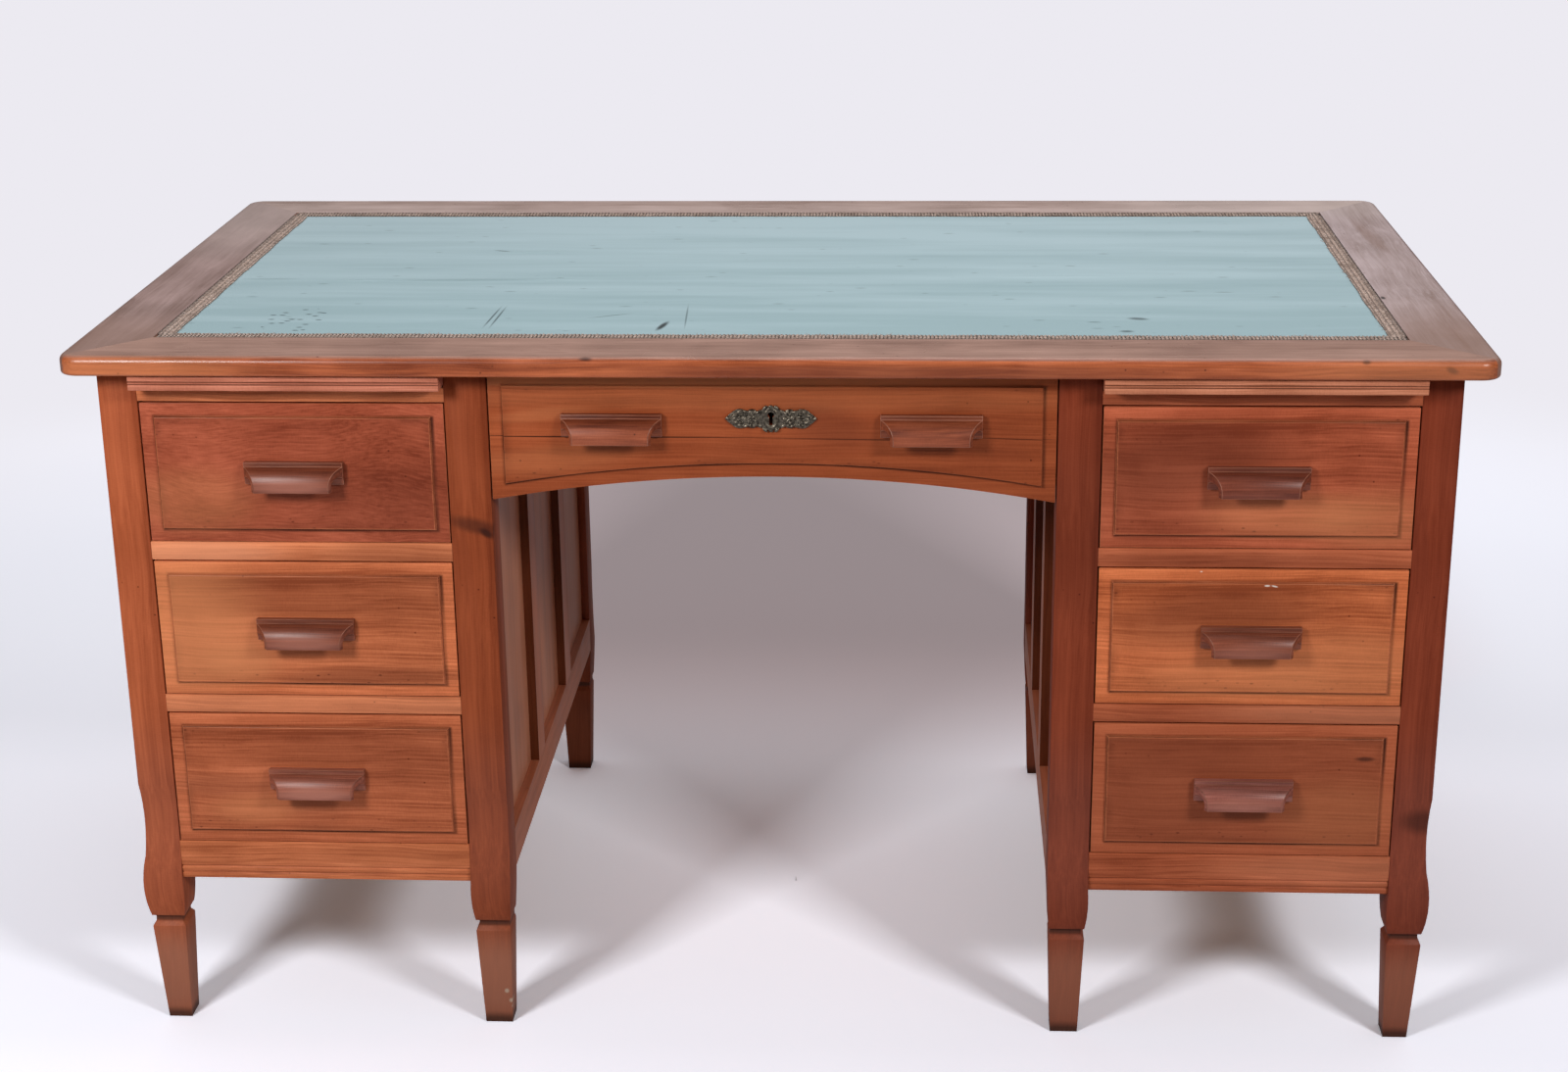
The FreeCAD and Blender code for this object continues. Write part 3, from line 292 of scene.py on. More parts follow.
def polished_wood(
    name, along, pith, tone, spread=0.42, ring=0.0045, stretch=0.022, rough=0.42, shine=0.10, wavy=0.013,
    streak=1.9, lines=0.12, fleck=0.85, cloud=0.8, field=None, greyed=None, marks=(),
):
    # Mahogany: straight brown lines and open pores under a thin worn polish, in lighter and darker bands.
    # The pores and the rays across them are drawn several times coarser than life, so that they show.
    material, tree = new_material(name)
    where = add(tree, "TexCoord", {}).outputs["Object"]
    turn = GRAIN_TURN[along]
    spin = Matrix.Rotation(turn[2], 3, "Z") @ Matrix.Rotation(turn[1], 3, "Y")
    board = add(tree, "Mapping", {
        "Vector": where, "Rotation": turn, "Location": -(spin @ Vector(pith)),
    }).outputs["Vector"]
    sway = add(tree, "TexNoise", {"Vector": board, "Scale": 1 / SWAY_LENGTH, "Detail": 1.0})
    swayed = add(tree, "VectorMath", {
        0: sway.outputs["Color"], 1: (wavy, wavy, wavy), 2: board,
    }, operation="MULTIPLY_ADD").outputs["Vector"]
    drawn = add(tree, "Mapping", {"Vector": swayed, "Scale": (stretch, 1.0, 1.0)}).outputs["Vector"]
    fine = add(tree, "Mapping", {"Vector": swayed, "Scale": (stretch / 2, 1.0, 1.0)}).outputs["Vector"]
    rings = add(tree, "TexWave", {
        "Vector": drawn, "Scale": 2 * math.pi / (WAVE_FACTOR * ring), "Distortion": 9.0,
        "Detail": 3.0, "Detail Scale": 0.3, "Detail Roughness": 0.6,
    }, wave_type="RINGS", rings_direction="SPHERICAL", wave_profile="SAW")
    bands = add(tree, "TexNoise", {
        "Vector": drawn, "Scale": 1 / BAND_WIDTH, "Detail": 5.0, "Roughness": 0.70, "Distortion": 0.12,
    })
    fibres = add(tree, "TexNoise", {
        "Vector": fine, "Scale": 1 / FIBRE_WIDTH, "Detail": 2.0, "Roughness": 0.6,
    })
    crossed = add(tree, "Mapping", {"Vector": board, "Scale": (1.0, 0.2, 0.2)}).outputs["Vector"]
    rays = add(tree, "TexNoise", {"Vector": crossed, "Scale": 1 / RAY_WIDTH, "Detail": 1.0})
    patina = add(tree, "TexNoise", {"Vector": board, "Scale": 1 / PATINA_WIDTH, "Detail": 3.0})
    figure = ((bands, streak), (rings, lines), (fibres, fleck), (rays, RAY_WEIGHT), (patina, cloud))
    depth = 0.5 - 0.5 * sum(weight for pattern, weight in figure)
    for pattern, weight in figure:
        depth = add(tree, "Math", {
            0: pattern.outputs["Fac"], 1: weight, 2: depth,
        }, operation="MULTIPLY_ADD").outputs[0]
    ramp = add(tree, "ValToRGB", {"Fac": depth})
    ramp.color_ramp.elements[0].position = 0.1
    ramp.color_ramp.elements[0].color = shade(tone, 1 - spread)
    ramp.color_ramp.elements[1].position = 0.9
    ramp.color_ramp.elements[1].color = shade(tone, 1 + spread)
    ramp.color_ramp.elements.new(0.5).color = shade(tone, 1.0)
    colour = ramp.outputs["Color"]
    if greyed:
        colour = painted_reflection_grey(tree, where, colour, depth, bands.outputs["Fac"], tone, *greyed)
    if field:
        colour = field_shaded(tree, where, colour, patina.outputs["Fac"], *field)
    dents = add(tree, "TexVoronoi", {"Vector": board, "Scale": 1 / DENT_SPACING})
    dent = add(tree, "MapRange", {
        "Value": dents.outputs["Distance"], "From Min": 0.4 * DENT_RADIUS / DENT_SPACING,
        "From Max": DENT_RADIUS / DENT_SPACING, "To Min": 0.8, "To Max": 0.0,
    })
    knocked = add(tree, "MapRange", {"Value": sway.outputs["Fac"], "From Min": 0.48, "From Max": 0.56})
    colour = tinted(tree, colour, shade(tone, 0.2), dent.outputs["Result"], knocked.outputs["Result"])
    colour = marked(tree, where, colour, marks)
    gloss = add(tree, "MapRange", {
        "Value": patina.outputs["Fac"], "From Min": 0.3, "From Max": 0.7,
        "To Min": rough - 0.06, "To Max": rough + 0.1,
    })
    pores = add(tree, "Bump", {"Height": fibres.outputs["Fac"], "Strength": 0.15, "Distance": 0.0006})
    shader = add(tree, "BsdfPrincipled", {
        "Base Color": colour, "Roughness": gloss.outputs["Result"], "Normal": pores.outputs["Normal"],
        "IOR": 1.5, "Specular IOR Level": shine,
    })
    add(tree, "OutputMaterial", {"Surface": shader.outputs["BSDF"]})
    return material


def copied(node, name):
    piece = bpy.data.objects.new(name, nodes[node].data.copy())
    scene.collection.objects.link(piece)
    bpy.ops.object.select_all(action="DESELECT")
    piece.select_set(True)
    bpy.context.view_layer.objects.active = piece
    piece.data.materials.clear()
    return piece


def merged_copy(node, name):
    piece = copied(node, name)
    bpy.ops.object.mode_set(mode="EDIT")
    bpy.ops.mesh.select_all(action="SELECT")
    bpy.ops.mesh.remove_doubles(threshold=MERGE_REACH)
    bpy.ops.mesh.customdata_custom_splitnormals_clear()
    bpy.ops.object.mode_set(mode="OBJECT")
    return piece


def stands_for(piece, node):
    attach(piece, nodes[node]["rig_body"])
    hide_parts(node)


def eased(node, materials, width, wanted, rubbed=-1):
    piece = merged_copy(node, node + "_eased")
    bpy.ops.object.mode_set(mode="EDIT")
    bpy.ops.mesh.dissolve_limited(angle_limit=FLAT_ANGLE)
    bpy.ops.mesh.select_mode(type="EDGE")
    bpy.ops.mesh.select_all(action="DESELECT")
    bpy.ops.mesh.edges_select_sharp(sharpness=SHARP_ANGLE)
    bpy.ops.object.mode_set(mode="OBJECT")
    for edge in piece.data.edges:
        ends = [piece.data.vertices[v].co for v in edge.vertices]
        edge.select = edge.select and wanted((ends[0] + ends[1]) / 2, ends[1] - ends[0])
    bpy.ops.object.mode_set(mode="EDIT")
    for material in materials:
        piece.data.materials.append(material)
    bpy.ops.mesh.bevel(
        offset=width, segments=ROUND_STEPS, profile=0.5, affect="EDGES", clamp_overlap=True, material=rubbed)
    bpy.ops.object.mode_set(mode="OBJECT")
    bpy.ops.object.shade_smooth_by_angle(angle=SMOOTH_ANGLE)
    stands_for(piece, node)


POST_TONES = {
    "left_outer": "#A25130", "left_inner": "#873F22", "right_inner": "#7B351F", "right_outer": "#79331E",
}
FOOT_DUST = "#A26C56"
FOOT_DARKENING = "#33221B"
FOOT_CHIP = "#B9A48F"
KNOT_DARK = "#2E1712"
POST_BLOOM = "#A8756A"
POST_MARKS = {
    "left_inner_front_post": [
        ((-0.312, -0.372, 0.590), (0.040, 0.03, 0.012), (0.25, 0), 0.6, KNOT_DARK),
        ((-0.300, -0.372, 0.582), (0.012, 0.03, 0.006), (0.6, 0), 0.8, KNOT_DARK),
        ((-0.3000, -0.365, 0.0284), (0.0035, 0.02, 0.0040), (0.3, 0), 0.8, FOOT_CHIP),
        ((-0.2975, -0.365, 0.0210), (0.0035, 0.02, 0.0040), (0.3, 0), 0.8, FOOT_CHIP),
        ((-0.3045, -0.365, 0.0406), (0.0035, 0.02, 0.0040), (0.3, 0), 0.8, FOOT_CHIP),
    ],
    "right_inner_front_post": [((0.312, -0.372, 0.590), (0.06, 0.06, 0.140), (0, 0), 0.18, KNOT_DARK)],
    "right_outer_front_post": [((0.690, -0.372, 0.263), (0.034, 0.04, 0.020), (0, 0), 0.6, KNOT_DARK)],
}
NECK_HEIGHT = 0.126
LEG_TOP = 0.177
FACE_REACH = 0.0075
POST_ROUND = 0.0018
for post, tone in POST_TONES.items():
    for end in ("front", "back"):
        node = post + "_" + end + "_post"
        low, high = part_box(node)
        middle = (low + high) / 2
        dust = 0.2 if end == "back" else 0.7 if middle.x < 0 else 0.5
        # Each post is dusty near its foot, and darker at the bottom of the foot and round the neck.
        marks = [
            ((middle.x, middle.y, 0.055), (0.09, 0.09, 0.085), (0, 0), dust, FOOT_DUST),
            ((middle.x, middle.y, 0.0), (0.06, 0.06, 0.016), (0, 0), 0.8, FOOT_DARKENING),
            ((middle.x, middle.y, NECK_HEIGHT), (0.06, 0.06, 0.006), (0, 0), 0.75, FOOT_DARKENING),
            ((middle.x, middle.y, 0.240), (0.09, 0.09, 0.160), (0, 0), 0.10, POST_BLOOM),
        ]
        wood = polished_wood(
            "mahogany_" + node, "Z", (middle.x - 0.12, middle.y + 0.16, middle.z + 0.5), tone,
            spread=0.30, ring=0.009, marks=marks + POST_MARKS.get(node, []))

        def arris(point, run, low=low, high=high):
            on_side = min(abs(point.x - low.x), abs(point.x - high.x)) < FACE_REACH
            on_face = min(abs(point.y - low.y), abs(point.y - high.y)) < FACE_REACH
            return point.z < LEG_TOP or (on_side and on_face)

        eased(node, [wood], POST_ROUND, arris)

# Side and back frames of the pedestals: rails and muntins tenoned together round sunk panels.
# All of it is mahogany; the rails lie along the frame and the muntins and panels stand upright.
# The kneehole sides and their panels have lighter tones than the outer sides: partly the wood's own tone,
# partly painted reflection of the pale floor.
SIDE_TONES = {"outer_side": "#96502F", "inner_side": "#AF6647", "back": "#8A4A30"}
PANEL_TONES = {"outer": "#9A5638", "inner": "#BD7B5C"}
BOTTOM_RAIL_TOP = 0.2222
TOP_RAIL_BOTTOM = 0.7038
# Faces of the side frames that look straight front or back, between the rails, take a darker wood: painted
# shade in the reveals.
shaded_reveal_wood = polished_wood("soiled_mahogany_reveals", "Z", (0.2, -0.3, 1.1), "#5E2C16", spread=0.3)
for side in ("left", "right"):
    for face, along in (("outer_side", "Y"), ("inner_side", "Y"), ("back", "X")):
        name = side + "_" + face + "_frame"
        low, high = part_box(name)
        tone = SIDE_TONES[face]
        upright_wood = polished_wood(
            "mahogany_" + name + "_muntins", "Z", (low.x + 0.2, -0.3, 1.1), tone,
            spread=0.25, rough=0.36, shine=0.45)
        rail_wood = polished_wood(
            "mahogany_" + name + "_rails", along, (low.x - 0.3, -0.7, -0.2), tone,
            spread=0.25, rough=0.36, shine=0.45)
        piece = copied(name, name + "_grained")
        for wood in (upright_wood, rail_wood, shaded_reveal_wood):
            piece.data.materials.append(wood)
        stands_for(piece, name)
        for facet in piece.data.polygons:
            in_rail = facet.center.z < BOTTOM_RAIL_TOP or facet.center.z > TOP_RAIL_BOTTOM
            in_reveal = not in_rail and face != "back" and abs(facet.normal.y) > 0.9
            facet.material_index = 2 if in_reveal else 1 if in_rail else 0
    for face, tone in PANEL_TONES.items():
        name = side + "_" + face + "_side_panels"
        nodes[name].data.materials[0] = polished_wood(
            "mahogany_" + name, "Z", (0.15, 0.4, 0.9), tone,
            spread=0.22, ring=0.008, rough=0.36, shine=0.45)
nodes["back_panels"].data.materials[0] = polished_wood(
    "mahogany_back_panels", "Z", (0.15, 0.4, 0.9), PANEL_TONES["outer"], ring=0.008)
nodes["kneehole_back_apron"].data.materials[0] = polished_wood(
    "mahogany_apron", "X", (0.3, 0.5, 0.2), SIDE_TONES["back"])

# Runners, guides and cleats inside the carcase: plain planed deal, left bare.
# They are glued and screwed to the frames, and the drawers and slides run on them.
# Deal is pale and dry to the eye, with broader and plainer lines than mahogany.
bare_deal = polished_wood(
    "bare_deal", "Y", (0.2, 0.3, 0.1), "#B8926A", spread=0.3, ring=0.006, rough=0.6, lines=0.5, streak=0.9)
for name in ("drawer_runners", "centre_drawer_runners"):
    nodes[name].data.materials[0] = bare_deal

# Front rails between the drawers and the beaded rail under them, mahogany with the grain along.
# They are tenoned into the posts, and their front edges are planed flush with them.
RAIL_TONES = {"left": "#C47048", "right": "#A65637"}
STAIN = "#5A2718"
BRIGHT = "#EFA077"
RAIL_STAINS = {
    "left": [
        ((-0.610, -0.37, 0.559), (0.13, 0.05, 0.020), (0, 0), 0.50, BRIGHT),
        ((-0.390, -0.37, 0.559), (0.15, 0.05, 0.020), (0, 0), 0.35, STAIN),
        ((-0.499, -0.37, 0.386), (0.50, 0.05, 0.020), (0, 0), 0.20, BRIGHT),
        ((-0.430, -0.37, 0.205), (0.16, 0.05, 0.030), (0, 0), 0.16, STAIN),
    ],
    "right": [
        ((0.450, -0.37, 0.560), (0.20, 0.05, 0.012), (0, 0), 0.30, STAIN),
        ((0.610, -0.37, 0.388), (0.20, 0.05, 0.020), (0, 0), 0.22, BRIGHT),
        ((0.610, -0.37, 0.206), (0.20, 0.05, 0.030), (0, 0), 0.18, BRIGHT),
    ],
}
RAIL_FACE = -0.366
RAIL_ROUND = 0.0008
for side, tone in RAIL_TONES.items():
    name = side + "_front_rails"
    low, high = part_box(name)
    wood = polished_wood(
        "mahogany_" + name, "X", (low.x - 0.3, -0.2, -0.4), tone, marks=RAIL_STAINS[side])
    eased(name, [wood], RAIL_ROUND, lambda point, run: point.y < RAIL_FACE)

# Writing slides: a board that pulls out under the top, with a reeded lip to grip it by.
# The lip is glued along the front of the board and is worn paler than the drawers.
LIP_TONES = {"left": "#BE745B", "right": "#C17A5B"}
BOARD_TONE = "#A0664A"
REED_DROPS = (0.0060, 0.0086)
REED_GROOVE_SHADE = "#57291B"
LIP_ROUND = 0.0012
LIP_NOSE = -0.39
LONG_EDGE = 0.1
for side, tone in LIP_TONES.items():
    lip = side + "_slide_lip"
    low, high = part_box(lip)
    # Dark lines along the two reeds: painted shade in their grooves.
    reeds = [
        (((low.x + high.x) / 2, low.y, high.z - drop), (0.40, 0.02, 0.0010), (0, 0), 0.7, REED_GROOVE_SHADE)
        for drop in REED_DROPS
    ]
    wood = polished_wood("worn_mahogany_" + side + "_lip", "X", (low.x - 0.2, -0.2, 0.4), tone, marks=reeds)
    eased(lip, [wood], LIP_ROUND,
          lambda point, run: abs(run.x) > LONG_EDGE or point.y < LIP_NOSE)
    nodes[side + "_slide_board"].data.materials[0] = polished_wood(
        "planed_mahogany_" + side + "_slide", "X", (low.x - 0.5, -0.5, 0.2), BOARD_TONE, rough=0.5)

# Pedestal drawers: mahogany fronts with a raised field; painted highlight on the worn arrises, painted shadow
# and dirt in the step.
# The boxes are bare deal, dovetailed to the fronts; the pulls are darker and screwed on from inside.
STEP_DIRT_AND_SHADE = 0.80
SHADOW_SHIFT_RIGHT = 0.0016
SHADOW_SHIFT_DOWN = 0.0011
FIELD_TINT = "#45190D"
STEP_TINT = "#240E08"
FIELD_GRIME = 0.42
NICK_SPACING = 0.0065
NICK_LEAN = math.radians(50)
NICK_TINT = "#4A1A10"
NICKED_LOW = 0.010
NICKED_HIGH = 0.020


def beyond_field(tree, at, centre, half, arch):
    gaps = []
    for axis, middle, extent in (("X", centre[0], half[0]), ("Z", centre[1], half[1])):
        off = add(tree, "Math", {0: at.outputs[axis], 1: middle}, operation="SUBTRACT")
        size = add(tree, "Math", {0: off.outputs[0]}, operation="ABSOLUTE")
        gaps.append(add(tree, "Math", {0: size.outputs[0], 1: extent}, operation="SUBTRACT").outputs[0])
    gap = add(tree, "Math", {0: gaps[0], 1: gaps[1]}, operation="MAXIMUM").outputs[0]
    if arch:
        height = add(tree, "Math", {0: at.outputs["Z"], 1: arch[0]}, operation="SUBTRACT")
        spoke = add(tree, "CombineXYZ", {"X": at.outputs["X"], "Z": height.outputs[0]})
        reach = add(tree, "VectorMath", {0: spoke.outputs["Vector"]}, operation="LENGTH")
        under = add(tree, "Math", {0: arch[1], 1: reach.outputs["Value"]}, operation="SUBTRACT")
        gap = add(tree, "Math", {0: gap, 1: under.outputs[0]}, operation="MAXIMUM").outputs[0]
    return gap


def field_shaded(tree, where, colour, breaks, centre, half, shading, arch):
    # The field is a little darker than its border, grimed and nicked by its edge; dirt and painted shadow lie
    # in the step.
    at = add(tree, "SeparateXYZ", {"Vector": where})
    gap = beyond_field(tree, at, centre, half, arch)
    inside = add(tree, "MapRange", {
        "Value": gap, "From Min": -0.003, "From Max": 0.0, "To Min": shading, "To Max": 0.0,
    })
    colour = tinted(tree, colour, linear(FIELD_TINT), inside.outputs["Result"])
    near_edge = add(tree, "MapRange", {"Value": gap, "From Min": -0.011, "From Max": -0.0005})
    past_edge = add(tree, "MapRange", {
        "Value": gap, "From Min": 0.0, "From Max": 0.003, "To Min": 1.0, "To Max": 0.0,
    })
    by_edge = add(tree, "Math", {
        0: near_edge.outputs["Result"], 1: past_edge.outputs["Result"],
    }, operation="MULTIPLY")
    handled = add(tree, "MapRange", {"Value": breaks, "From Min": 0.46, "From Max": 0.62})
    grimy = add(tree, "Math", {0: by_edge.outputs[0], 1: handled.outputs["Result"]}, operation="MULTIPLY")
    colour = tinted(tree, colour, linear(FIELD_TINT), grimy.outputs[0], FIELD_GRIME)
    struck = add(tree, "Mapping", {
        "Vector": where, "Rotation": (0, NICK_LEAN, 0), "Scale": (0.5, 1.0, 1.0),
    })
    pricks = add(tree, "TexVoronoi", {"Vector": struck.outputs["Vector"], "Scale": 1 / NICK_SPACING})
    prick = add(tree, "MapRange", {
        "Value": pricks.outputs["Distance"], "From Min": 0.06, "From Max": 0.20, "To Min": 0.9, "To Max": 0.0,
    })
    bottom = centre[1] - half[1]
    low_edge = add(tree, "MapRange", {
        "Value": at.outputs["Z"], "From Min": bottom + NICKED_LOW, "From Max": bottom + NICKED_HIGH,
        "To Min": 1.0, "To Max": 0.0,
    })
    off_border = add(tree, "Math", {0: gap, 1: 0.0}, operation="LESS_THAN")
    low_field = add(tree, "Math", {
        0: low_edge.outputs["Result"], 1: off_border.outputs[0],
    }, operation="MULTIPLY")
    broken = add(tree, "MapRange", {
        "Value": breaks, "From Min": 0.3, "From Max": 0.6, "To Min": 0.3, "To Max": 1.0,
    })
    knocked = add(tree, "Math", {
        0: low_field.outputs[0], 1: broken.outputs["Result"],
    }, operation="MULTIPLY")
    nicked = add(tree, "Math", {0: grimy.outputs[0], 1: knocked.outputs[0]}, operation="MAXIMUM")
    colour = tinted(tree, colour, linear(NICK_TINT), prick.outputs["Result"], nicked.outputs[0])
    # The dark line round the step is moved right and down: dirt in the step and painted shadow of the raised
    # field.
    shifted_step_gap = beyond_field(tree, at, (centre[0] + SHADOW_SHIFT_RIGHT, centre[1] - SHADOW_SHIFT_DOWN), half, arch)
    off_step = add(tree, "Math", {0: shifted_step_gap}, operation="ABSOLUTE")
    step_dirt_and_shade = add(tree, "MapRange", {
        "Value": off_step.outputs[0], "From Min": 0.0006, "From Max": 0.0028,
        "To Min": STEP_DIRT_AND_SHADE, "To Max": 0.0,
    })
    on_step = add(tree, "Math", {0: gap, 1: -0.0008}, operation="GREATER_THAN")
    return tinted(
        tree, colour, linear(STEP_TINT), step_dirt_and_shade.outputs["Result"], broken.outputs["Result"], on_step.outputs[0])


FRONT_LOOKS = {
    "left_top": ("#9C4C33", 0.10, {"stretch": 0.16, "wavy": 0.06, "streak": 1.0, "cloud": 1.2}),
    "left_middle": ("#CC7147", 0.30, {}),
    "left_bottom": ("#B96440", 0.16, {"streak": 1.8}),
    "right_top": ("#B0583A", 0.14, {"cloud": 1.2}),
    "right_middle": ("#C76B40", 0.16, {"cloud": 1.0}),
    "right_bottom": ("#AC5A3A", 0.32, {"streak": 1.1, "spread": 0.3}),
}
PALE = "#CF8456"
CHIP_PALE = "#DCCFC4"
STAINS = {
    "left_top": [
        ((-0.610, -0.37, 0.617), (0.10, 0.05, 0.050), (0, 0), 0.25, PALE),
        ((-0.420, -0.37, 0.620), (0.13, 0.05, 0.055), (0, 0), 0.25, STAIN),
    ],
    "left_middle": [
        ((-0.630, -0.37, 0.475), (0.12, 0.05, 0.120), (0, 0), 0.50, PALE),
        ((-0.460, -0.37, 0.515), (0.22, 0.05, 0.055), (0, 0), 0.28, STAIN),
        ((-0.570, -0.37, 0.435), (0.06, 0.05, 0.030), (0, 0), 0.35, PALE),
        ((-0.420, -0.37, 0.420), (0.14, 0.05, 0.016), (0, 0), 0.35, STAIN),
    ],
    "left_bottom": [
        ((-0.430, -0.37, 0.325), (0.18, 0.05, 0.060), (0, 0), 0.25, STAIN),
        ((-0.600, -0.37, 0.290), (0.10, 0.05, 0.020), (0, 0), 0.30, STAIN),
        ((-0.570, -0.37, 0.262), (0.07, 0.05, 0.025), (0, 0), 0.30, PALE),
        ((-0.500, -0.37, 0.262), (0.05, 0.05, 0.030), (0, 0), 0.22, STAIN),
    ],
    "right_top": [
        ((0.420, -0.37, 0.665), (0.16, 0.05, 0.060), (-0.1, 0), 0.60, STAIN),
        ((0.390, -0.37, 0.605), (0.10, 0.05, 0.050), (0, 0), 0.28, STAIN),
        ((0.530, -0.37, 0.608), (0.12, 0.05, 0.035), (0, 0), 0.35, PALE),
        ((0.620, -0.37, 0.600), (0.10, 0.05, 0.050), (0, 0), 0.30, PALE),
    ],
    "right_middle": [
        ((0.460, -0.37, 0.495), (0.15, 0.05, 0.050), (-0.1, 0), 0.50, STAIN),
        ((0.480, -0.37, 0.425), (0.14, 0.05, 0.035), (0, 0), 0.30, PALE),
        ((0.600, -0.37, 0.440), (0.14, 0.05, 0.060), (0, 0), 0.35, PALE),
        ((0.5120, -0.37, 0.5310), (0.0040, 0.02, 0.0014), (0, 0), 0.95, CHIP_PALE),
        ((0.5195, -0.37, 0.5305), (0.0045, 0.02, 0.0012), (0.2, 0), 0.9, CHIP_PALE),
        ((0.4440, -0.37, 0.5450), (0.0018, 0.02, 0.0010), (0, 0), 0.9, CHIP_PALE),
    ],
    "right_bottom": [
        ((0.430, -0.37, 0.300), (0.15, 0.05, 0.090), (0, 0), 0.22, STAIN),
        ((0.600, -0.37, 0.270), (0.10, 0.05, 0.060), (0, 0), 0.18, PALE),
        ((0.624, -0.37, 0.337), (0.014, 0.02, 0.004), (0, 0), 0.7, KNOT_DARK),
    ],
}
PULL_ROOT = -0.3705
PULL_SHADE = "#2A120C"
PULL_HIGHLIGHT = "#B07260"
# Each pull: its tone and the strength of the painted highlight on its lower lip.
PULL_LOOKS = {
    "left_top": ("#7E3F29", 0.55),
    "left_middle": ("#7E3F29", 0.50),
    "left_bottom": ("#96523D", 0.70),
    "right_top": ("#7A3B28", 0.08),
    "right_middle": ("#84442E", 0.35),
    "right_bottom": ("#96574A", 0.45),
}


# On each pull: painted shade where it meets the front and over its upper part, and a painted highlight along
# its lower lip.
def pull_marks(x, low, high, handled):
    return [
        ((x, PULL_ROOT, low), (0.075, 0.011, 0.026), (0, 0), 0.8, PULL_SHADE),
        ((x, -0.3850, high), (0.110, 0.030, 0.016), (0, 0), 0.40, PULL_SHADE),
        ((x, -0.3930, low + 0.007), (0.062, 0.020, 0.011), (0, 0), handled, PULL_HIGHLIGHT),
    ]


FIELD_INSET = 0.014
FRONT_FACE = -0.3665
FRONT_ROUND = 0.0010
PULL_ROUND = 0.0009
PULL_GRAIN = {"spread": 0.55, "stretch": 0.05, "streak": 2.4, "fleck": 0.8, "rough": 0.40}
# Arrises of fronts and pulls take a paler wood: wear, and painted highlight where the rounded arris catches
# the light.
worn_and_highlit_arris_wood = polished_wood("rubbed_mahogany", "X", (0.3, 0.1, 0.2), "#A65C3A", shine=0.2)
worn_and_highlit_pull_arris_wood = polished_wood("rubbed_pull_edge", "X", (0.3, 0.2, 0.2), "#8C5640", shine=0.5)


def rounded_front(node, wood):
    eased(node, [wood, worn_and_highlit_arris_wood], FRONT_ROUND,
          lambda point, run: point.y < FRONT_FACE, rubbed=1)


def rounded_pull(node, wood):
    eased(node, [wood, worn_and_highlit_pull_arris_wood], PULL_ROUND,
          lambda point, run: point.y < PULL_ROOT, rubbed=1)


for place, (tone, shading, figure) in FRONT_LOOKS.items():
    front = place + "_drawer_front"
    low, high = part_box(front)
    middle = (low + high) / 2
    half = (high - low) / 2
    inner_half = (half.x - FIELD_INSET, half.z - FIELD_INSET)
    wood = polished_wood(
        "mahogany_" + front, "X", (middle.x + 0.4, -0.2, middle.z - 0.6), tone,
        field=((middle.x, middle.z), inner_half, shading, None), marks=STAINS[place], **figure)
    rounded_front(front, wood)
    nodes[place + "_drawer_box"].data.materials[0] = bare_deal
    pull = place + "_drawer_pull"
    low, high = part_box(pull)
    tone, handled = PULL_LOOKS[place]
    wood = polished_wood(
        "dark_mahogany_" + place + "_pull", "X", (low.x - 0.1, -0.3, low.z - 0.2), tone,
        shine=0.35, marks=pull_marks(middle.x, low.z, high.z, handled), **PULL_GRAIN)
    rounded_pull(pull, wood)

# Centre drawer: one wide mahogany front with an arched lower edge and an old drying crack along it.
# It carries two pulls, a cast scroll plate over the keyhole and a steel lock behind.
ARCH_HALF = 0.2775
ARCH_END = 0.6365
ARCH_TOP = 0.660
ARCH_RISE = ARCH_TOP - ARCH_END
ARCH_RADIUS = (ARCH_HALF ** 2 + ARCH_RISE ** 2) / (2 * ARCH_RISE)
CRACK_TINT = "#1E0C07"
FIELD_MIDDLE = 0.690
FIELD_HALF = 0.053
wood = polished_wood(
    "mahogany_centre_front", "X", (0.5, -0.2, 0.1), "#954827", wavy=0.010, spread=0.32,
    field=((0.0, FIELD_MIDDLE), (ARCH_HALF, FIELD_HALF), 0.04, (ARCH_TOP - ARCH_RADIUS, ARCH_RADIUS)),
    marks=[
        ((-0.170, -0.370, 0.6885), (0.230, 0.02, 0.0011), (0.0, 0), 0.9, CRACK_TINT),
        ((0.090, -0.370, 0.6868), (0.130, 0.02, 0.0010), (0.01, 0), 0.75, CRACK_TINT),
        ((0.250, -0.370, 0.6880), (0.060, 0.02, 0.0009), (0.03, 0), 0.7, CRACK_TINT),
        ((0.205, -0.370, 0.695), (0.120, 0.05, 0.055), (0.1, 0), 0.20, STAIN),
        ((-0.225, -0.370, 0.664), (0.120, 0.05, 0.022), (-0.1, 0), 0.18, PALE),
        ((0.055, -0.370, 0.704), (0.075, 0.05, 0.026), (0.2, 0), 0.40, STAIN),
        ((-0.235, -0.370, 0.712), (0.070, 0.05, 0.010), (-0.1, 0), 0.22, PALE),
        ((0.030, -0.370, 0.680), (0.150, 0.05, 0.022), (0, 0), 0.20, STAIN),
        ((0.000, -0.370, 0.730), (0.600, 0.05, 0.020), (0, 0), 0.15, PALE),
        # A pale band along the top border: painted light over the shade under the top's overhang.
        ((-0.100, -0.370, 0.748), (0.500, 0.05, 0.009), (0, 0), 0.60, PALE),
    ],
)
rounded_front("centre_drawer_front", wood)
nodes["centre_drawer_box"].data.materials[0] = bare_deal
CENTRE_PULL_X = 0.164
CENTRE_PULL_HIGHLIGHT = 0.08
low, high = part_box("centre_drawer_pulls")
marks = []
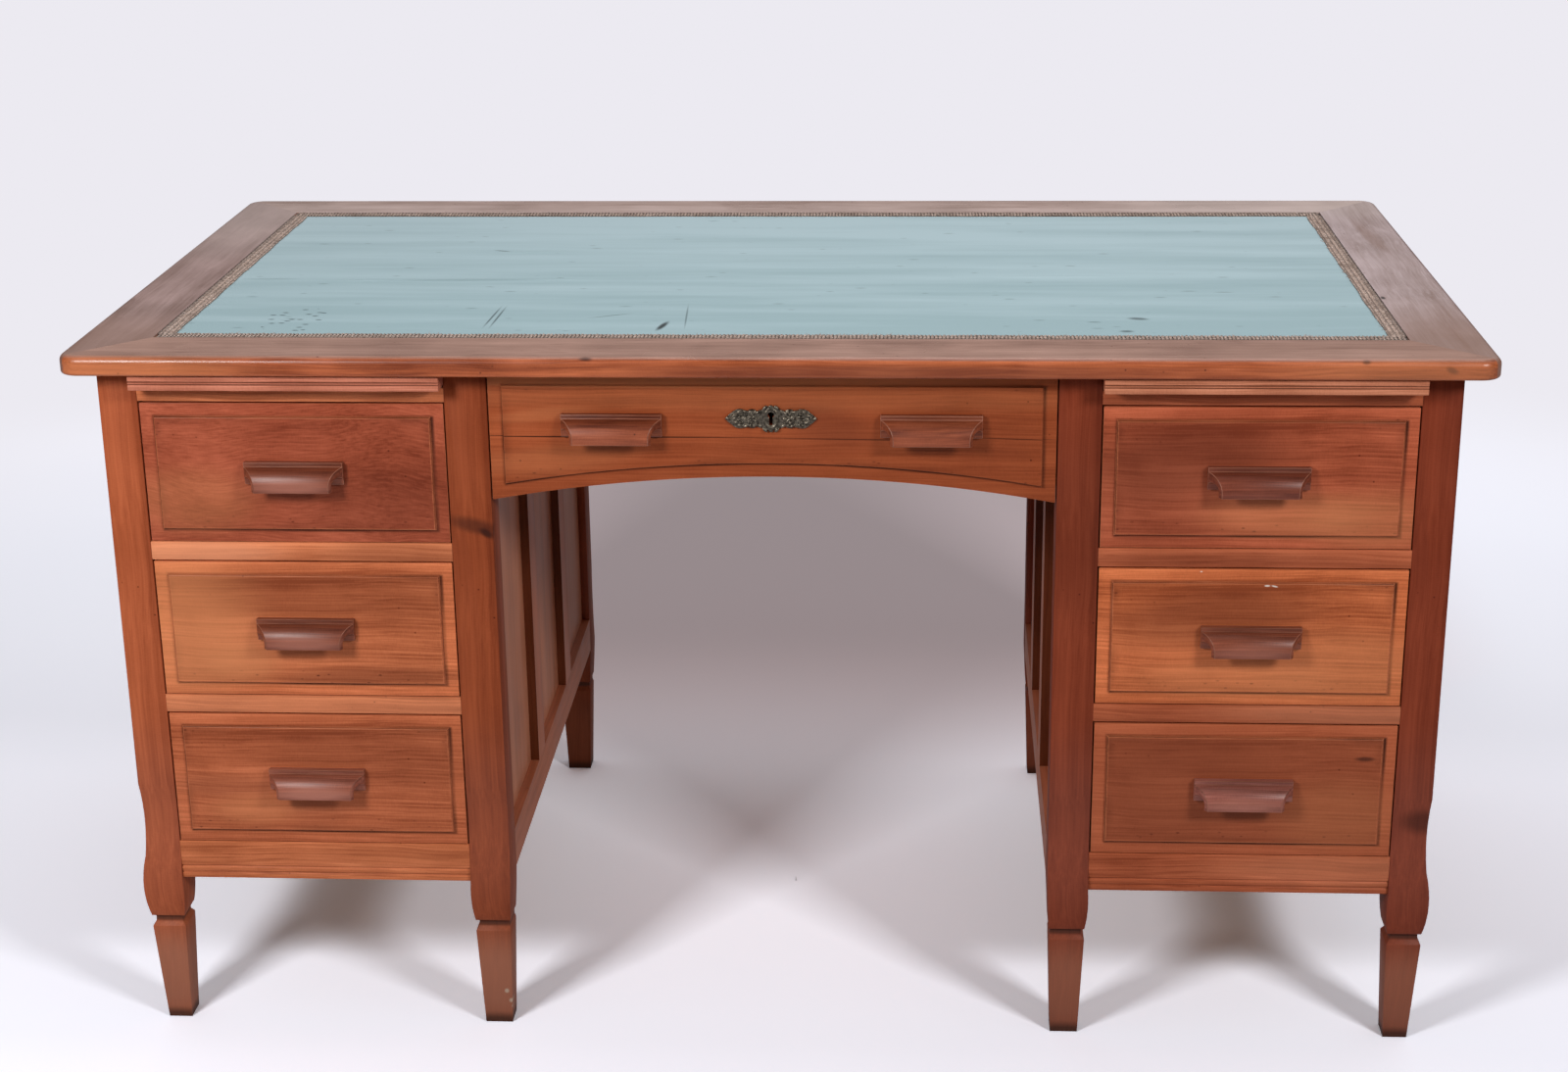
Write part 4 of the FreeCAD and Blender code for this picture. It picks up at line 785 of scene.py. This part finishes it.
for x in (-CENTRE_PULL_X, CENTRE_PULL_X):
    marks += pull_marks(x, low.z, high.z, CENTRE_PULL_HIGHLIGHT)
wood = polished_wood(
    "dark_mahogany_centre_pulls", "X", (0.2, -0.3, 0.5), "#8C462B", shine=0.3, marks=marks, **PULL_GRAIN)
rounded_pull("centre_drawer_pulls", wood)


def aged_metal(name, deep, worn, rough, grit):
    # Cast and handled metal: a pitted skin, dark in the pits and rubbed brighter between them.
    material, tree = new_material(name)
    where = add(tree, "TexCoord", {}).outputs["Object"]
    cast = add(tree, "TexNoise", {"Vector": where, "Scale": 1 / grit, "Detail": 3.0})
    ramp = add(tree, "ValToRGB", {"Fac": cast.outputs["Fac"]})
    ramp.color_ramp.elements[0].position = 0.35
    ramp.color_ramp.elements[0].color = linear(deep)
    ramp.color_ramp.elements[1].position = 0.68
    ramp.color_ramp.elements[1].color = linear(worn)
    skin = add(tree, "Bump", {"Height": cast.outputs["Fac"], "Strength": 0.3, "Distance": 0.0004})
    shader = add(tree, "BsdfPrincipled", {
        "Base Color": ramp.outputs["Color"], "Metallic": 0.9, "Roughness": rough,
        "Normal": skin.outputs["Normal"],
    })
    add(tree, "OutputMaterial", {"Surface": shader.outputs["BSDF"]})
    return material


bronze = aged_metal("patinated_bronze", "#3B342C", "#887E6F", 0.38, 0.003)
steel = aged_metal("dull_steel", "#55534F", "#8A8883", 0.4, 0.004)
for name in ("lock_case", "lock_bolt", "top_screws"):
    nodes[name].data.materials[0] = steel

# The scroll plate over the keyhole: cast bronze with raised volutes, leaves and a rim round the key.
# Each volute is a rolled ring with an eye, and all of it is cast in one with the pierced plate.
PLATE_MIDDLE = Vector((0.0, -0.372, 0.709))
VOLUTE_RADIUS = 0.0037
VOLUTE_BEAD = 0.0012
LEAF_PROUD = 0.0015
RIM_RADIUS = 0.0078
RIM_BEAD = 0.0010
CAST_DETAIL = 0.00036
UPRIGHT = (math.pi / 2, 0, 0)
plate = merged_copy("escutcheon", "escutcheon_cast")
relief = [plate]


def volute(x, z):
    at_eye = PLATE_MIDDLE + Vector((x, 0, z))
    bpy.ops.mesh.primitive_torus_add(
        major_radius=VOLUTE_RADIUS, minor_radius=VOLUTE_BEAD, major_segments=24, minor_segments=8,
        location=at_eye, rotation=UPRIGHT)
    relief.append(bpy.context.object)
    bpy.ops.mesh.primitive_uv_sphere_add(
        segments=12, ring_count=8, radius=VOLUTE_BEAD * 1.25, location=at_eye)
    relief.append(bpy.context.object)


def leaf(x, z, length, width, lean):
    bpy.ops.mesh.primitive_uv_sphere_add(
        segments=16, ring_count=10, radius=1.0,
        location=PLATE_MIDDLE + Vector((x, 0, z)), rotation=(0, lean, 0))
    bpy.context.object.scale = (length, LEAF_PROUD, width)
    relief.append(bpy.context.object)


for way in (-1, 1):
    for rise in (-1, 1):
        volute(way * 0.0195, rise * 0.0046)
        volute(way * 0.0305, rise * 0.0042)
        leaf(way * 0.0250, rise * 0.0076, 0.0034, 0.0015, -rise * way * 0.3)
        leaf(way * 0.0130, rise * 0.0070, 0.0044, 0.0017, rise * way * 0.6)
        leaf(way * 0.0060, rise * 0.0118, 0.0034, 0.0016, rise * way * 0.7)
        leaf(way * 0.0375, rise * 0.0034, 0.0040, 0.0015, rise * way * 0.45)
    leaf(way * 0.0410, 0.0, 0.0048, 0.0016, 0.0)
    leaf(way * 0.0250, 0.0, 0.0036, 0.0016, 0.0)
    leaf(way * 0.0140, 0.0, 0.0026, 0.0016, 0.0)
bpy.ops.mesh.primitive_torus_add(
    major_radius=RIM_RADIUS, minor_radius=RIM_BEAD, major_segments=32, minor_segments=8,
    location=PLATE_MIDDLE + Vector((0, 0, 0.0005)), rotation=UPRIGHT)
bpy.context.object.scale = (0.92, 1.25, 1.0)
relief.append(bpy.context.object)
bpy.ops.object.select_all(action="DESELECT")
for raised_form in relief:
    raised_form.select_set(True)
bpy.context.view_layer.objects.active = plate
bpy.ops.object.join()
cast = plate.modifiers.new("Cast in one", "REMESH")
cast.mode = "VOXEL"
cast.voxel_size = CAST_DETAIL
bpy.ops.object.modifier_apply(modifier=cast.name)
softer = plate.modifiers.new("Worn", "SMOOTH")
softer.factor = 0.5
softer.iterations = 2
bpy.ops.object.modifier_apply(modifier=softer.name)
bpy.ops.object.shade_smooth()
plate.data.materials.clear()
plate.data.materials.append(bronze)
stands_for(plate, "escutcheon")

# The top: four mitred members with a rounded edge round a core board, mahogany greyed on its flat by a
# painted reflection of the pale room.
# The members are tongued to the board, and the whole top is screwed down through the cleats.
# Each member: its grain, pith, tone, and the grey of the painted reflection on its flat.
TOP_LOOKS = {
    "top_front_rail": ("X", (0.4, -0.36, 0.2), "#A45430", "#9E7B6D"),
    "top_back_rail": ("X", (-0.4, 0.36, 0.2), "#8C4A30", "#C2A89F"),
    "top_left_rail": ("Y", (-0.69, 0.5, 0.55), "#8E4A30", "#A0847E"),
    "top_right_rail": ("Y", (0.69, -0.6, 0.55), "#8E4A30", "#BBA6A4"),
}
REFLECTION_GREYING = 0.9
GREY_FROM = 0.7770
GREY_TO = 0.7799
ARRIS_HEIGHT = 0.7785
GAP_DARK = "#231812"
BROWNED = "#8A6758"
BACK_REFLECTION_PALE = "#D9C6C0"
# The paler patches towards the back add painted reflection; the browner front corners have less of it.
TOP_MARKS = {
    "top_front_rail": [
        ((-0.185, -0.399, 0.7785), (0.010, 0.008, 0.003), (0, 0), 0.8, KNOT_DARK),
        ((0.678, -0.400, 0.7698), (0.009, 0.010, 0.0045), (0.4, 0), 0.8, KNOT_DARK),
        ((0.594, -0.399, 0.7775), (0.006, 0.008, 0.003), (0, 0), 0.8, KNOT_DARK),
        ((0.120, -0.402, 0.764), (0.380, 0.014, 0.016), (0, 0), 0.52, STAIN),
        ((-0.660, -0.402, 0.767), (0.180, 0.014, 0.020), (0, 0), 0.35, PALE),
        ((0.640, -0.402, 0.767), (0.180, 0.014, 0.020), (0, 0), 0.30, PALE),
    ],
    "top_right_rail": [
        ((0.700, -0.400, 0.780), (0.16, 0.30, 0.05), (0, 0), 0.75, BROWNED),
        ((0.6530, -0.1365, 0.780), (0.0035, 0.0090, 0.01), (0, 0), 0.95, GAP_DARK),
        ((0.690, 0.170, 0.780), (0.012, 0.120, 0.01), (0, 0.06), 0.45, BROWNED),
        ((0.690, 0.400, 0.780), (0.160, 0.160, 0.05), (0, 0), 0.35, BACK_REFLECTION_PALE),
    ],
    "top_left_rail": [
        ((-0.700, -0.400, 0.780), (0.16, 0.26, 0.05), (0, 0), 0.6, BROWNED),
        ((-0.690, 0.400, 0.780), (0.16, 0.44, 0.05), (0, 0), 0.35, BACK_REFLECTION_PALE),
    ],
    "top_back_rail": [((0.640, 0.360, 0.780), (0.36, 0.10, 0.05), (0, 0), 0.5, BACK_REFLECTION_PALE)],
}


def painted_reflection_grey(tree, where, colour, depth, bands, tone, share, grey):
    # The flat of the top is greyed by a painted reflection of the pale room, and its arris holds broken
    # streaks of dirt.
    height = add(tree, "SeparateXYZ", {"Vector": where}).outputs["Z"]
    flat = add(tree, "MapRange", {
        "Value": height, "From Min": GREY_FROM, "From Max": GREY_TO, "To Min": 0.0, "To Max": share,
    })
    reflected_grey = add(tree, "ValToRGB", {"Fac": depth})
    reflected_grey.color_ramp.elements[0].color = shade(grey, 0.62)
    reflected_grey.color_ramp.elements[1].color = shade(grey, 1.30)
    colour = tinted(tree, colour, reflected_grey.outputs["Color"], flat.outputs["Result"])
    off_arris = add(tree, "Math", {0: height, 1: ARRIS_HEIGHT}, operation="SUBTRACT")
    near_arris = add(tree, "Math", {0: off_arris.outputs[0]}, operation="ABSOLUTE")
    soiled = add(tree, "MapRange", {
        "Value": near_arris.outputs[0], "From Min": 0.0002, "From Max": 0.0016,
        "To Min": 0.75, "To Max": 0.0,
    })
    broken = add(tree, "MapRange", {"Value": bands, "From Min": 0.45, "From Max": 0.62})
    return tinted(tree, colour, shade(tone, 0.30), soiled.outputs["Result"], broken.outputs["Result"])


for name, (along, pith, tone, grey) in TOP_LOOKS.items():
    nodes[name].data.materials[0] = polished_wood(
        "worn_mahogany_" + name, along, pith, tone, spread=0.50, ring=0.006, rough=0.30, shine=0.4,
        stretch=0.05, greyed=(REFLECTION_GREYING, grey), marks=TOP_MARKS[name])
nodes["top_core_board"].data.materials[0] = bare_deal

# The writing surface: one sheet of pale green leathercloth glued down on the core board.
# It is creased in places, wiped in long smears and scratched by years of writing.
CLOTH_HALF_X = 0.6324
CLOTH_HALF_Y = 0.3024
CLOTH_TOP = 0.7783
CLOTH_THICK = 0.0013
CLOTH_SWELL = 0.00012
CREASE_HALF = 0.0032
CREASE_LEAN = 0.02
# Each crease: the middle of its line, its half length and its rise.
CREASES = (
    (-0.370, -0.0496, 0.130, 0.00090),
    (-0.595, -0.0435, 0.035, 0.00030),
    (-0.300, 0.0950, 0.050, 0.00030),
    (0.310, -0.0300, 0.090, 0.00025),
)
bpy.ops.object.select_all(action="DESELECT")
bpy.ops.mesh.primitive_grid_add(
    x_subdivisions=126, y_subdivisions=240, size=1.0, location=(0, 0, CLOTH_TOP))
cloth = bpy.context.object
cloth.name = "leathercloth_sheet"
cloth.scale = (2 * CLOTH_HALF_X, 2 * CLOTH_HALF_Y, 1.0)
bpy.ops.object.transform_apply(location=True, rotation=True, scale=True)
for vertex in cloth.data.vertices:
    point = vertex.co
    swell = math.sin(9.0 * point.x + 2.0) * math.sin(23.0 * point.y + 1.0)
    point.z += CLOTH_SWELL * swell
    for middle_x, middle_y, half_length, rise in CREASES:
        along = point.x - middle_x
        off_line = (point.y - middle_y - CREASE_LEAN * along) / CREASE_HALF
        point.z += rise * math.exp(-off_line ** 2 - (along / half_length) ** 4)
solid = cloth.modifiers.new("Thickness", "SOLIDIFY")
solid.thickness = CLOTH_THICK
solid.offset = -1.0
bpy.ops.object.modifier_apply(modifier=solid.name)
bpy.ops.object.shade_smooth_by_angle(angle=math.radians(40))

# Leathercloth: coated cotton with a low sheen, clouded in long smears by wiping, and darkly scratched.
# Its embossed grain is drawn about twice as coarse as life, so that it shows.
CLOTH_DARK = "#97B0B6"
CLOTH_PALE = "#B1C7CE"
SMEAR_WIDTH = 0.045
BACK_SHEEN = 0.80
EMBOSS_WIDTH = 0.0018
SPECK_SPACING = 0.012
SPECK_LEAN = math.radians(66)
CUT_DARK = "#2C3A3E"
CREASE_SHADE = "#6E868B"
CUT_DEEP = "#1C2426"
SCUFF_TINT = "#4F6367"
CUTS = [
    ((-0.3080, -0.223, CLOTH_TOP), (0.0016, 0.060, 0.01), (0, math.radians(-3.1)), 0.75, CUT_DARK),
    ((-0.3017, -0.223, CLOTH_TOP), (0.0016, 0.060, 0.01), (0, math.radians(-2.1)), 0.75, CUT_DARK),
    ((-0.0988, -0.219, CLOTH_TOP), (0.0014, 0.066, 0.01), (0, math.radians(2.9)), 0.55, CUT_DARK),
    ((-0.1810, -0.2165, CLOTH_TOP), (0.032, 0.0018, 0.01), (0, math.radians(25.7)), 0.6, CUT_DARK),
    ((-0.1205, -0.261, CLOTH_TOP), (0.0050, 0.026, 0.01), (0, math.radians(-12.0)), 0.95, CUT_DEEP),
    ((-0.3485, 0.1016, CLOTH_TOP), (0.015, 0.0032, 0.01), (0, math.radians(-20.0)), 0.6, CUT_DARK),
    ((0.3820, -0.225, CLOTH_TOP), (0.015, 0.0075, 0.01), (0, math.radians(-14.0)), 0.7, CUT_DARK),
    ((0.3660, -0.279, CLOTH_TOP), (0.010, 0.0060, 0.01), (0, 0), 0.7, CUT_DARK),
    ((0.3350, -0.240, CLOTH_TOP), (0.010, 0.0026, 0.01), (0, 0), 0.6, CUT_DARK),
    ((0.4470, -0.0995, CLOTH_TOP), (0.012, 0.0022, 0.01), (0, 0), 0.45, CUT_DARK),
    ((0.4850, -0.104, CLOTH_TOP), (0.014, 0.0022, 0.01), (0, 0), 0.45, CUT_DARK),
    # Soft dark lines along the two long creases: painted shade of the creases.
    ((-0.370, -0.0525, CLOTH_TOP), (0.125, 0.0045, 0.01), (0, 0.02), 0.5, CREASE_SHADE),
    ((-0.595, -0.0465, CLOTH_TOP), (0.045, 0.0040, 0.01), (0, 0.02), 0.4, CREASE_SHADE),
]
leathercloth, tree = new_material("green_leathercloth")
where = add(tree, "TexCoord", {}).outputs["Object"]
wiped = add(tree, "Mapping", {"Vector": where, "Scale": (0.10, 1.0, 1.0)})
smears = add(tree, "TexNoise", {
    "Vector": wiped.outputs["Vector"], "Scale": 1 / SMEAR_WIDTH, "Detail": 4.0, "Roughness": 0.6,
})
on_cloth = add(tree, "SeparateXYZ", {"Vector": where})
# The cloth grows paler towards the back: painted sheen.
smears_with_sheen = add(tree, "Math", {
    0: on_cloth.outputs["Y"], 1: BACK_SHEEN, 2: smears.outputs["Fac"],
}, operation="MULTIPLY_ADD")
ramp = add(tree, "ValToRGB", {"Fac": smears_with_sheen.outputs[0]})
ramp.color_ramp.elements[0].position = 0.28
ramp.color_ramp.elements[0].color = linear(CLOTH_DARK)
ramp.color_ramp.elements[1].position = 0.72
ramp.color_ramp.elements[1].color = linear(CLOTH_PALE)
colour = marked(tree, where, ramp.outputs["Color"], CUTS)
slanted = add(tree, "Mapping", {
    "Vector": where, "Rotation": (0, 0, SPECK_LEAN), "Scale": (0.45, 1.0, 1.0),
})
specks = add(tree, "TexVoronoi", {
    "Vector": slanted.outputs["Vector"], "Scale": 1 / SPECK_SPACING,
}, voronoi_dimensions="2D")
pricked = add(tree, "MapRange", {
    "Value": specks.outputs["Distance"], "From Min": 0.07, "From Max": 0.17, "To Min": 0.95, "To Max": 0.0,
})
pricked_place = add(tree, "Mapping", {
    "Vector": where, "Location": (-0.520, -0.238, CLOTH_TOP), "Scale": (0.034, 0.056, 0.05),
}, vector_type="TEXTURE")
pricked_off = add(tree, "VectorMath", {0: pricked_place.outputs["Vector"]}, operation="LENGTH")
pricked_cover = add(tree, "Math", {0: pricked_off.outputs["Value"], 1: 1.0}, operation="LESS_THAN")
colour = tinted(tree, colour, linear(CUT_DARK), pricked.outputs["Result"], pricked_cover.outputs[0])
for spacing, slant, kept, strength in (
    (0.046, 8.0, 0.55, 0.50),
    (0.071, -14.0, 0.50, 0.45),
    (0.030, 3.0, 0.66, 0.30),
):
    rubbed = add(tree, "Mapping", {
        "Vector": where, "Rotation": (0, 0, math.radians(slant)), "Scale": (0.34, 1.0, 1.0),
    })
    scuffs = add(tree, "TexVoronoi", {
        "Vector": rubbed.outputs["Vector"], "Scale": 1 / spacing,
    }, voronoi_dimensions="2D")
    scuff = add(tree, "MapRange", {
        "Value": scuffs.outputs["Distance"], "From Min": 0.008, "From Max": 0.042,
        "To Min": strength, "To Max": 0.0,
    })
    chosen = add(tree, "Math", {0: scuffs.outputs["Color"], 1: kept}, operation="GREATER_THAN")
    colour = tinted(tree, colour, linear(SCUFF_TINT), scuff.outputs["Result"], chosen.outputs[0])
grain = add(tree, "TexVoronoi", {"Vector": where, "Scale": 1 / EMBOSS_WIDTH})
emboss = add(tree, "Bump", {"Height": grain.outputs["Distance"], "Strength": 0.12, "Distance": 0.0003})
shader = add(tree, "BsdfPrincipled", {
    "Base Color": colour, "Roughness": 0.5, "Normal": emboss.outputs["Normal"], "IOR": 1.5,
})
add(tree, "OutputMaterial", {"Surface": shader.outputs["BSDF"]})
cloth.data.materials.append(leathercloth)
stands_for(cloth, "writing_surface")

# The braid that hides the cut edge of the cloth: a flat tape plaited of three cords of yarn.
# It is tacked down in four lengths that meet at the corners.
BRAID_WIDTH = 0.0170
BRAID_OUT_X = 0.6494
BRAID_OUT_Y = 0.3194
BRAID_BASE = 0.7770
STITCH_PITCH = 0.0040
CORDS = 3
CORD_WIDTH = BRAID_WIDTH / CORDS
STITCH_HALF = (0.0027, 0.0016, 0.0011)
STITCH_LEAN = math.radians(48)
STITCH_PROUD = 0.0004
YARN_STRAY = 0.0006
TAPE_THICK = 0.0016
TAPE_MARGIN = 0.001
TAPE_TOP = BRAID_BASE + TAPE_THICK
EDGE_DRIFT = 0.0008


def braid_length(name, length):
    halves = []
    for way in (-1, 1):
        bpy.ops.object.select_all(action="DESELECT")
        bpy.ops.mesh.primitive_uv_sphere_add(segments=6, ring_count=4, radius=1.0)
        stitch = bpy.context.object
        stitch.scale = STITCH_HALF
        stitch.rotation_euler = (0, 0, way * STITCH_LEAN)
        stitch.location = (0, way * CORD_WIDTH / 4, TAPE_TOP + STITCH_PROUD)
        bpy.ops.object.transform_apply(location=True, rotation=True, scale=True)
        halves.append(stitch)
    halves[0].select_set(True)
    bpy.context.view_layer.objects.active = halves[1]
    bpy.ops.object.join()
    tape = bpy.context.object
    tape.name = name
    count = int(length / STITCH_PITCH)
    for offset, copies in (((length / count, 0, 0), count), ((0, CORD_WIDTH, 0), CORDS)):
        row = tape.modifiers.new("Row", "ARRAY")
        row.use_relative_offset = False
        row.use_constant_offset = True
        row.constant_offset_displace = offset
        row.count = copies
        bpy.ops.object.modifier_apply(modifier=row.name)
    bpy.ops.object.mode_set(mode="EDIT")
    bpy.ops.mesh.select_all(action="SELECT")
    bpy.ops.transform.vertex_random(offset=YARN_STRAY, seed=len(name) + count)
    bpy.ops.object.mode_set(mode="OBJECT")
    bpy.ops.object.shade_smooth()
    bpy.ops.mesh.primitive_cube_add(size=1.0)
    backing = bpy.context.object
    backing.scale = (length, BRAID_WIDTH - TAPE_MARGIN, TAPE_THICK)
    backing.location = (length / 2, CORD_WIDTH * (CORDS - 1) / 2, BRAID_BASE + TAPE_THICK / 2)
    bpy.ops.object.transform_apply(location=True, rotation=True, scale=True)
    tape.select_set(True)
    bpy.context.view_layer.objects.active = tape
    bpy.ops.object.join()
    return tape


# Braid: matt beige yarn with painted shade between stitches and cords, dark with dust along its outer side.
# The twist of the yarn is drawn about three times as coarse as life, so that it shows.
SOIL_SIZE = 0.006
YARN_SIZE = 0.0022
WEAR_SIZE = 0.035
YARN_DARK = "#93786A"
YARN_PALE = "#CDB5A8"
SHADE_BETWEEN_STITCHES = "#4E3E36"
FURROW_SHADE = "#453730"
OUTER_GRIME = "#382B25"
WEAR_TINT = "#6B564A"
FLECK_TINT = "#5A483E"
braid_yarn, tree = new_material("soiled_woven_braid")
where = add(tree, "TexCoord", {}).outputs["Object"]
soil = add(tree, "TexNoise", {"Vector": where, "Scale": 1 / SOIL_SIZE, "Detail": 3.0})
yarn = add(tree, "TexNoise", {"Vector": where, "Scale": 1 / YARN_SIZE, "Detail": 2.0})
on_braid = add(tree, "SeparateXYZ", {"Vector": where})
# Lower down among the stitches the yarn is darker: painted shade.
raised = add(tree, "MapRange", {
    "Value": on_braid.outputs["Z"], "From Min": TAPE_TOP, "From Max": TAPE_TOP + 0.0013,
})
ramp = add(tree, "ValToRGB", {"Fac": soil.outputs["Fac"]})
ramp.color_ramp.elements[0].position = 0.3
ramp.color_ramp.elements[0].color = linear(YARN_DARK)
ramp.color_ramp.elements[1].position = 0.7
ramp.color_ramp.elements[1].color = linear(YARN_PALE)
colour = tinted(tree, linear(SHADE_BETWEEN_STITCHES), ramp.outputs["Color"], raised.outputs["Result"])
from_edge = []
for axis, outside in (("X", BRAID_OUT_X), ("Y", BRAID_OUT_Y)):
    size = add(tree, "Math", {0: on_braid.outputs[axis]}, operation="ABSOLUTE")
    from_edge.append(add(tree, "Math", {0: outside, 1: size.outputs[0]}, operation="SUBTRACT").outputs[0])
in_from_edge = add(tree, "Math", {0: from_edge[0], 1: from_edge[1]}, operation="MINIMUM")
wander = add(tree, "Math", {
    0: soil.outputs["Fac"], 1: 0.0024, 2: in_from_edge.outputs[0],
}, operation="MULTIPLY_ADD")
# Dark lines between the cords: painted shade in the furrows.
furrow = add(tree, "Math", {0: wander.outputs[0], 1: CORD_WIDTH / 2}, operation="PINGPONG")
furrowed = add(tree, "MapRange", {
    "Value": furrow.outputs[0], "From Min": 0.0003, "From Max": 0.0014, "To Min": 0.75, "To Max": 0.0,
})
colour = tinted(tree, colour, linear(FURROW_SHADE), furrowed.outputs["Result"])
grimed = add(tree, "MapRange", {
    "Value": wander.outputs[0], "From Min": 0.0018, "From Max": 0.0048, "To Min": 0.9, "To Max": 0.0,
})
colour = tinted(tree, colour, linear(OUTER_GRIME), grimed.outputs["Result"])
wear = add(tree, "TexNoise", {"Vector": where, "Scale": 1 / WEAR_SIZE, "Detail": 2.0})
dirtied = add(tree, "MapRange", {
    "Value": wear.outputs["Fac"], "From Min": 0.52, "From Max": 0.68, "To Min": 0.0, "To Max": 0.55,
})
colour = tinted(tree, colour, linear(WEAR_TINT), dirtied.outputs["Result"])
flecked = add(tree, "MapRange", {
    "Value": yarn.outputs["Fac"], "From Min": 0.33, "From Max": 0.46, "To Min": 0.45, "To Max": 0.0,
})
colour = tinted(tree, colour, linear(FLECK_TINT), flecked.outputs["Result"])
twist = add(tree, "Bump", {"Height": yarn.outputs["Fac"], "Strength": 0.4, "Distance": 0.0005})
shader = add(tree, "BsdfPrincipled", {
    "Base Color": colour, "Roughness": 0.9, "Normal": twist.outputs["Normal"], "Sheen Weight": 0.15,
})
add(tree, "OutputMaterial", {"Surface": shader.outputs["BSDF"]})

long_run = 2 * BRAID_OUT_X - STITCH_PITCH
short_run = 2 * (BRAID_OUT_Y - BRAID_WIDTH)
start_x = -BRAID_OUT_X + STITCH_PITCH
half_cord = CORD_WIDTH / 2
for name, length, turn, place in (
    ("braid_front", long_run, 0.0, (start_x, -BRAID_OUT_Y + half_cord, 0)),
    ("braid_back", long_run, 0.0, (start_x, BRAID_OUT_Y - BRAID_WIDTH + half_cord, 0)),
    ("braid_left", short_run, math.pi / 2, (-BRAID_OUT_X + BRAID_WIDTH - half_cord, -short_run / 2, 0)),
    ("braid_right", short_run, math.pi / 2, (BRAID_OUT_X - half_cord, -short_run / 2, 0)),
):
    tape = braid_length(name, length)
    tape.rotation_euler = (0, 0, turn)
    tape.location = place
    bpy.ops.object.transform_apply(location=True, rotation=True, scale=True)
    across, outside = (1, BRAID_OUT_Y) if turn == 0.0 else (0, BRAID_OUT_X)
    for vertex in tape.data.vertices:
        run = vertex.co[1 - across]
        inward = max(outside - abs(vertex.co[across]), 0.0)
        drift = EDGE_DRIFT * (1.0 + math.sin(run / 0.019) * math.sin(run / 0.043 + turn))
        vertex.co[across] -= math.copysign(drift * inward / BRAID_WIDTH, vertex.co[across])
    tape.data.materials.append(braid_yarn)
    stands_for(tape, "edge_braid")

# Loose ends of yarn along the inner side of the braid, where it has frayed.
# One stray end is drawn as a thin tapering thread and set out at many places and angles.
FRAYS = 420
FRAY_LENGTH = 0.0060
FRAY_THICK = 0.00045
FRAY_PROUD = 0.0006
FRAY_SPREAD = 0.55
FRAY_BACK = 0.006
FRAY_TILTS = (1.28, 1.52)
FRAY_STRETCH = (0.5, 1.2)
TUFT = (0.094, -BRAID_OUT_Y + BRAID_WIDTH)
TUFT_ENDS = 40
TUFT_SPREAD = 0.020
INNER_X = BRAID_OUT_X - BRAID_WIDTH
INNER_Y = BRAID_OUT_Y - BRAID_WIDTH
HALF_ROUND = 2 * (INNER_X + INNER_Y)
chance = random.Random(11)
bpy.ops.object.select_all(action="DESELECT")
bpy.ops.mesh.primitive_cone_add(
    vertices=4, radius1=FRAY_THICK, radius2=FRAY_THICK / 3, depth=FRAY_LENGTH,
    location=(0, 0, FRAY_LENGTH / 2))
bpy.ops.object.transform_apply(location=True, rotation=True, scale=True)
thread = bpy.context.object
thread.name = "braid_frays"
ends = []
for number in range(FRAYS + TUFT_ENDS):
    around = chance.uniform(-HALF_ROUND, HALF_ROUND)
    side = math.copysign(1.0, around)
    spread = chance.gauss(0.0, FRAY_SPREAD)
    back = chance.uniform(0.0, FRAY_BACK)
    if number >= FRAYS:
        place = (TUFT[0] + chance.gauss(0.0, TUFT_SPREAD), TUFT[1] - back / 2)
        heading = spread
    elif abs(around) < 2 * INNER_X:
        place = (abs(around) - INNER_X, side * (INNER_Y + back))
        heading = (math.pi if side > 0 else 0.0) + spread
    else:
        place = (side * (INNER_X + back), abs(around) - 2 * INNER_X - INNER_Y)
        heading = side * math.pi / 2 + spread
    end = thread.copy()
    end.data = thread.data.copy()
    end.location = (*place, TAPE_TOP + FRAY_PROUD)
    end.rotation_euler = (-chance.uniform(*FRAY_TILTS), 0, heading)
    end.scale = (1, 1, chance.uniform(*FRAY_STRETCH))
    ends.append(end)
for end in ends:
    scene.collection.objects.link(end)
    end.select_set(True)
bpy.ops.object.join()
bpy.ops.object.transform_apply(location=True, rotation=True, scale=True)
thread.data.materials.append(braid_yarn)
stands_for(thread, "edge_braid")
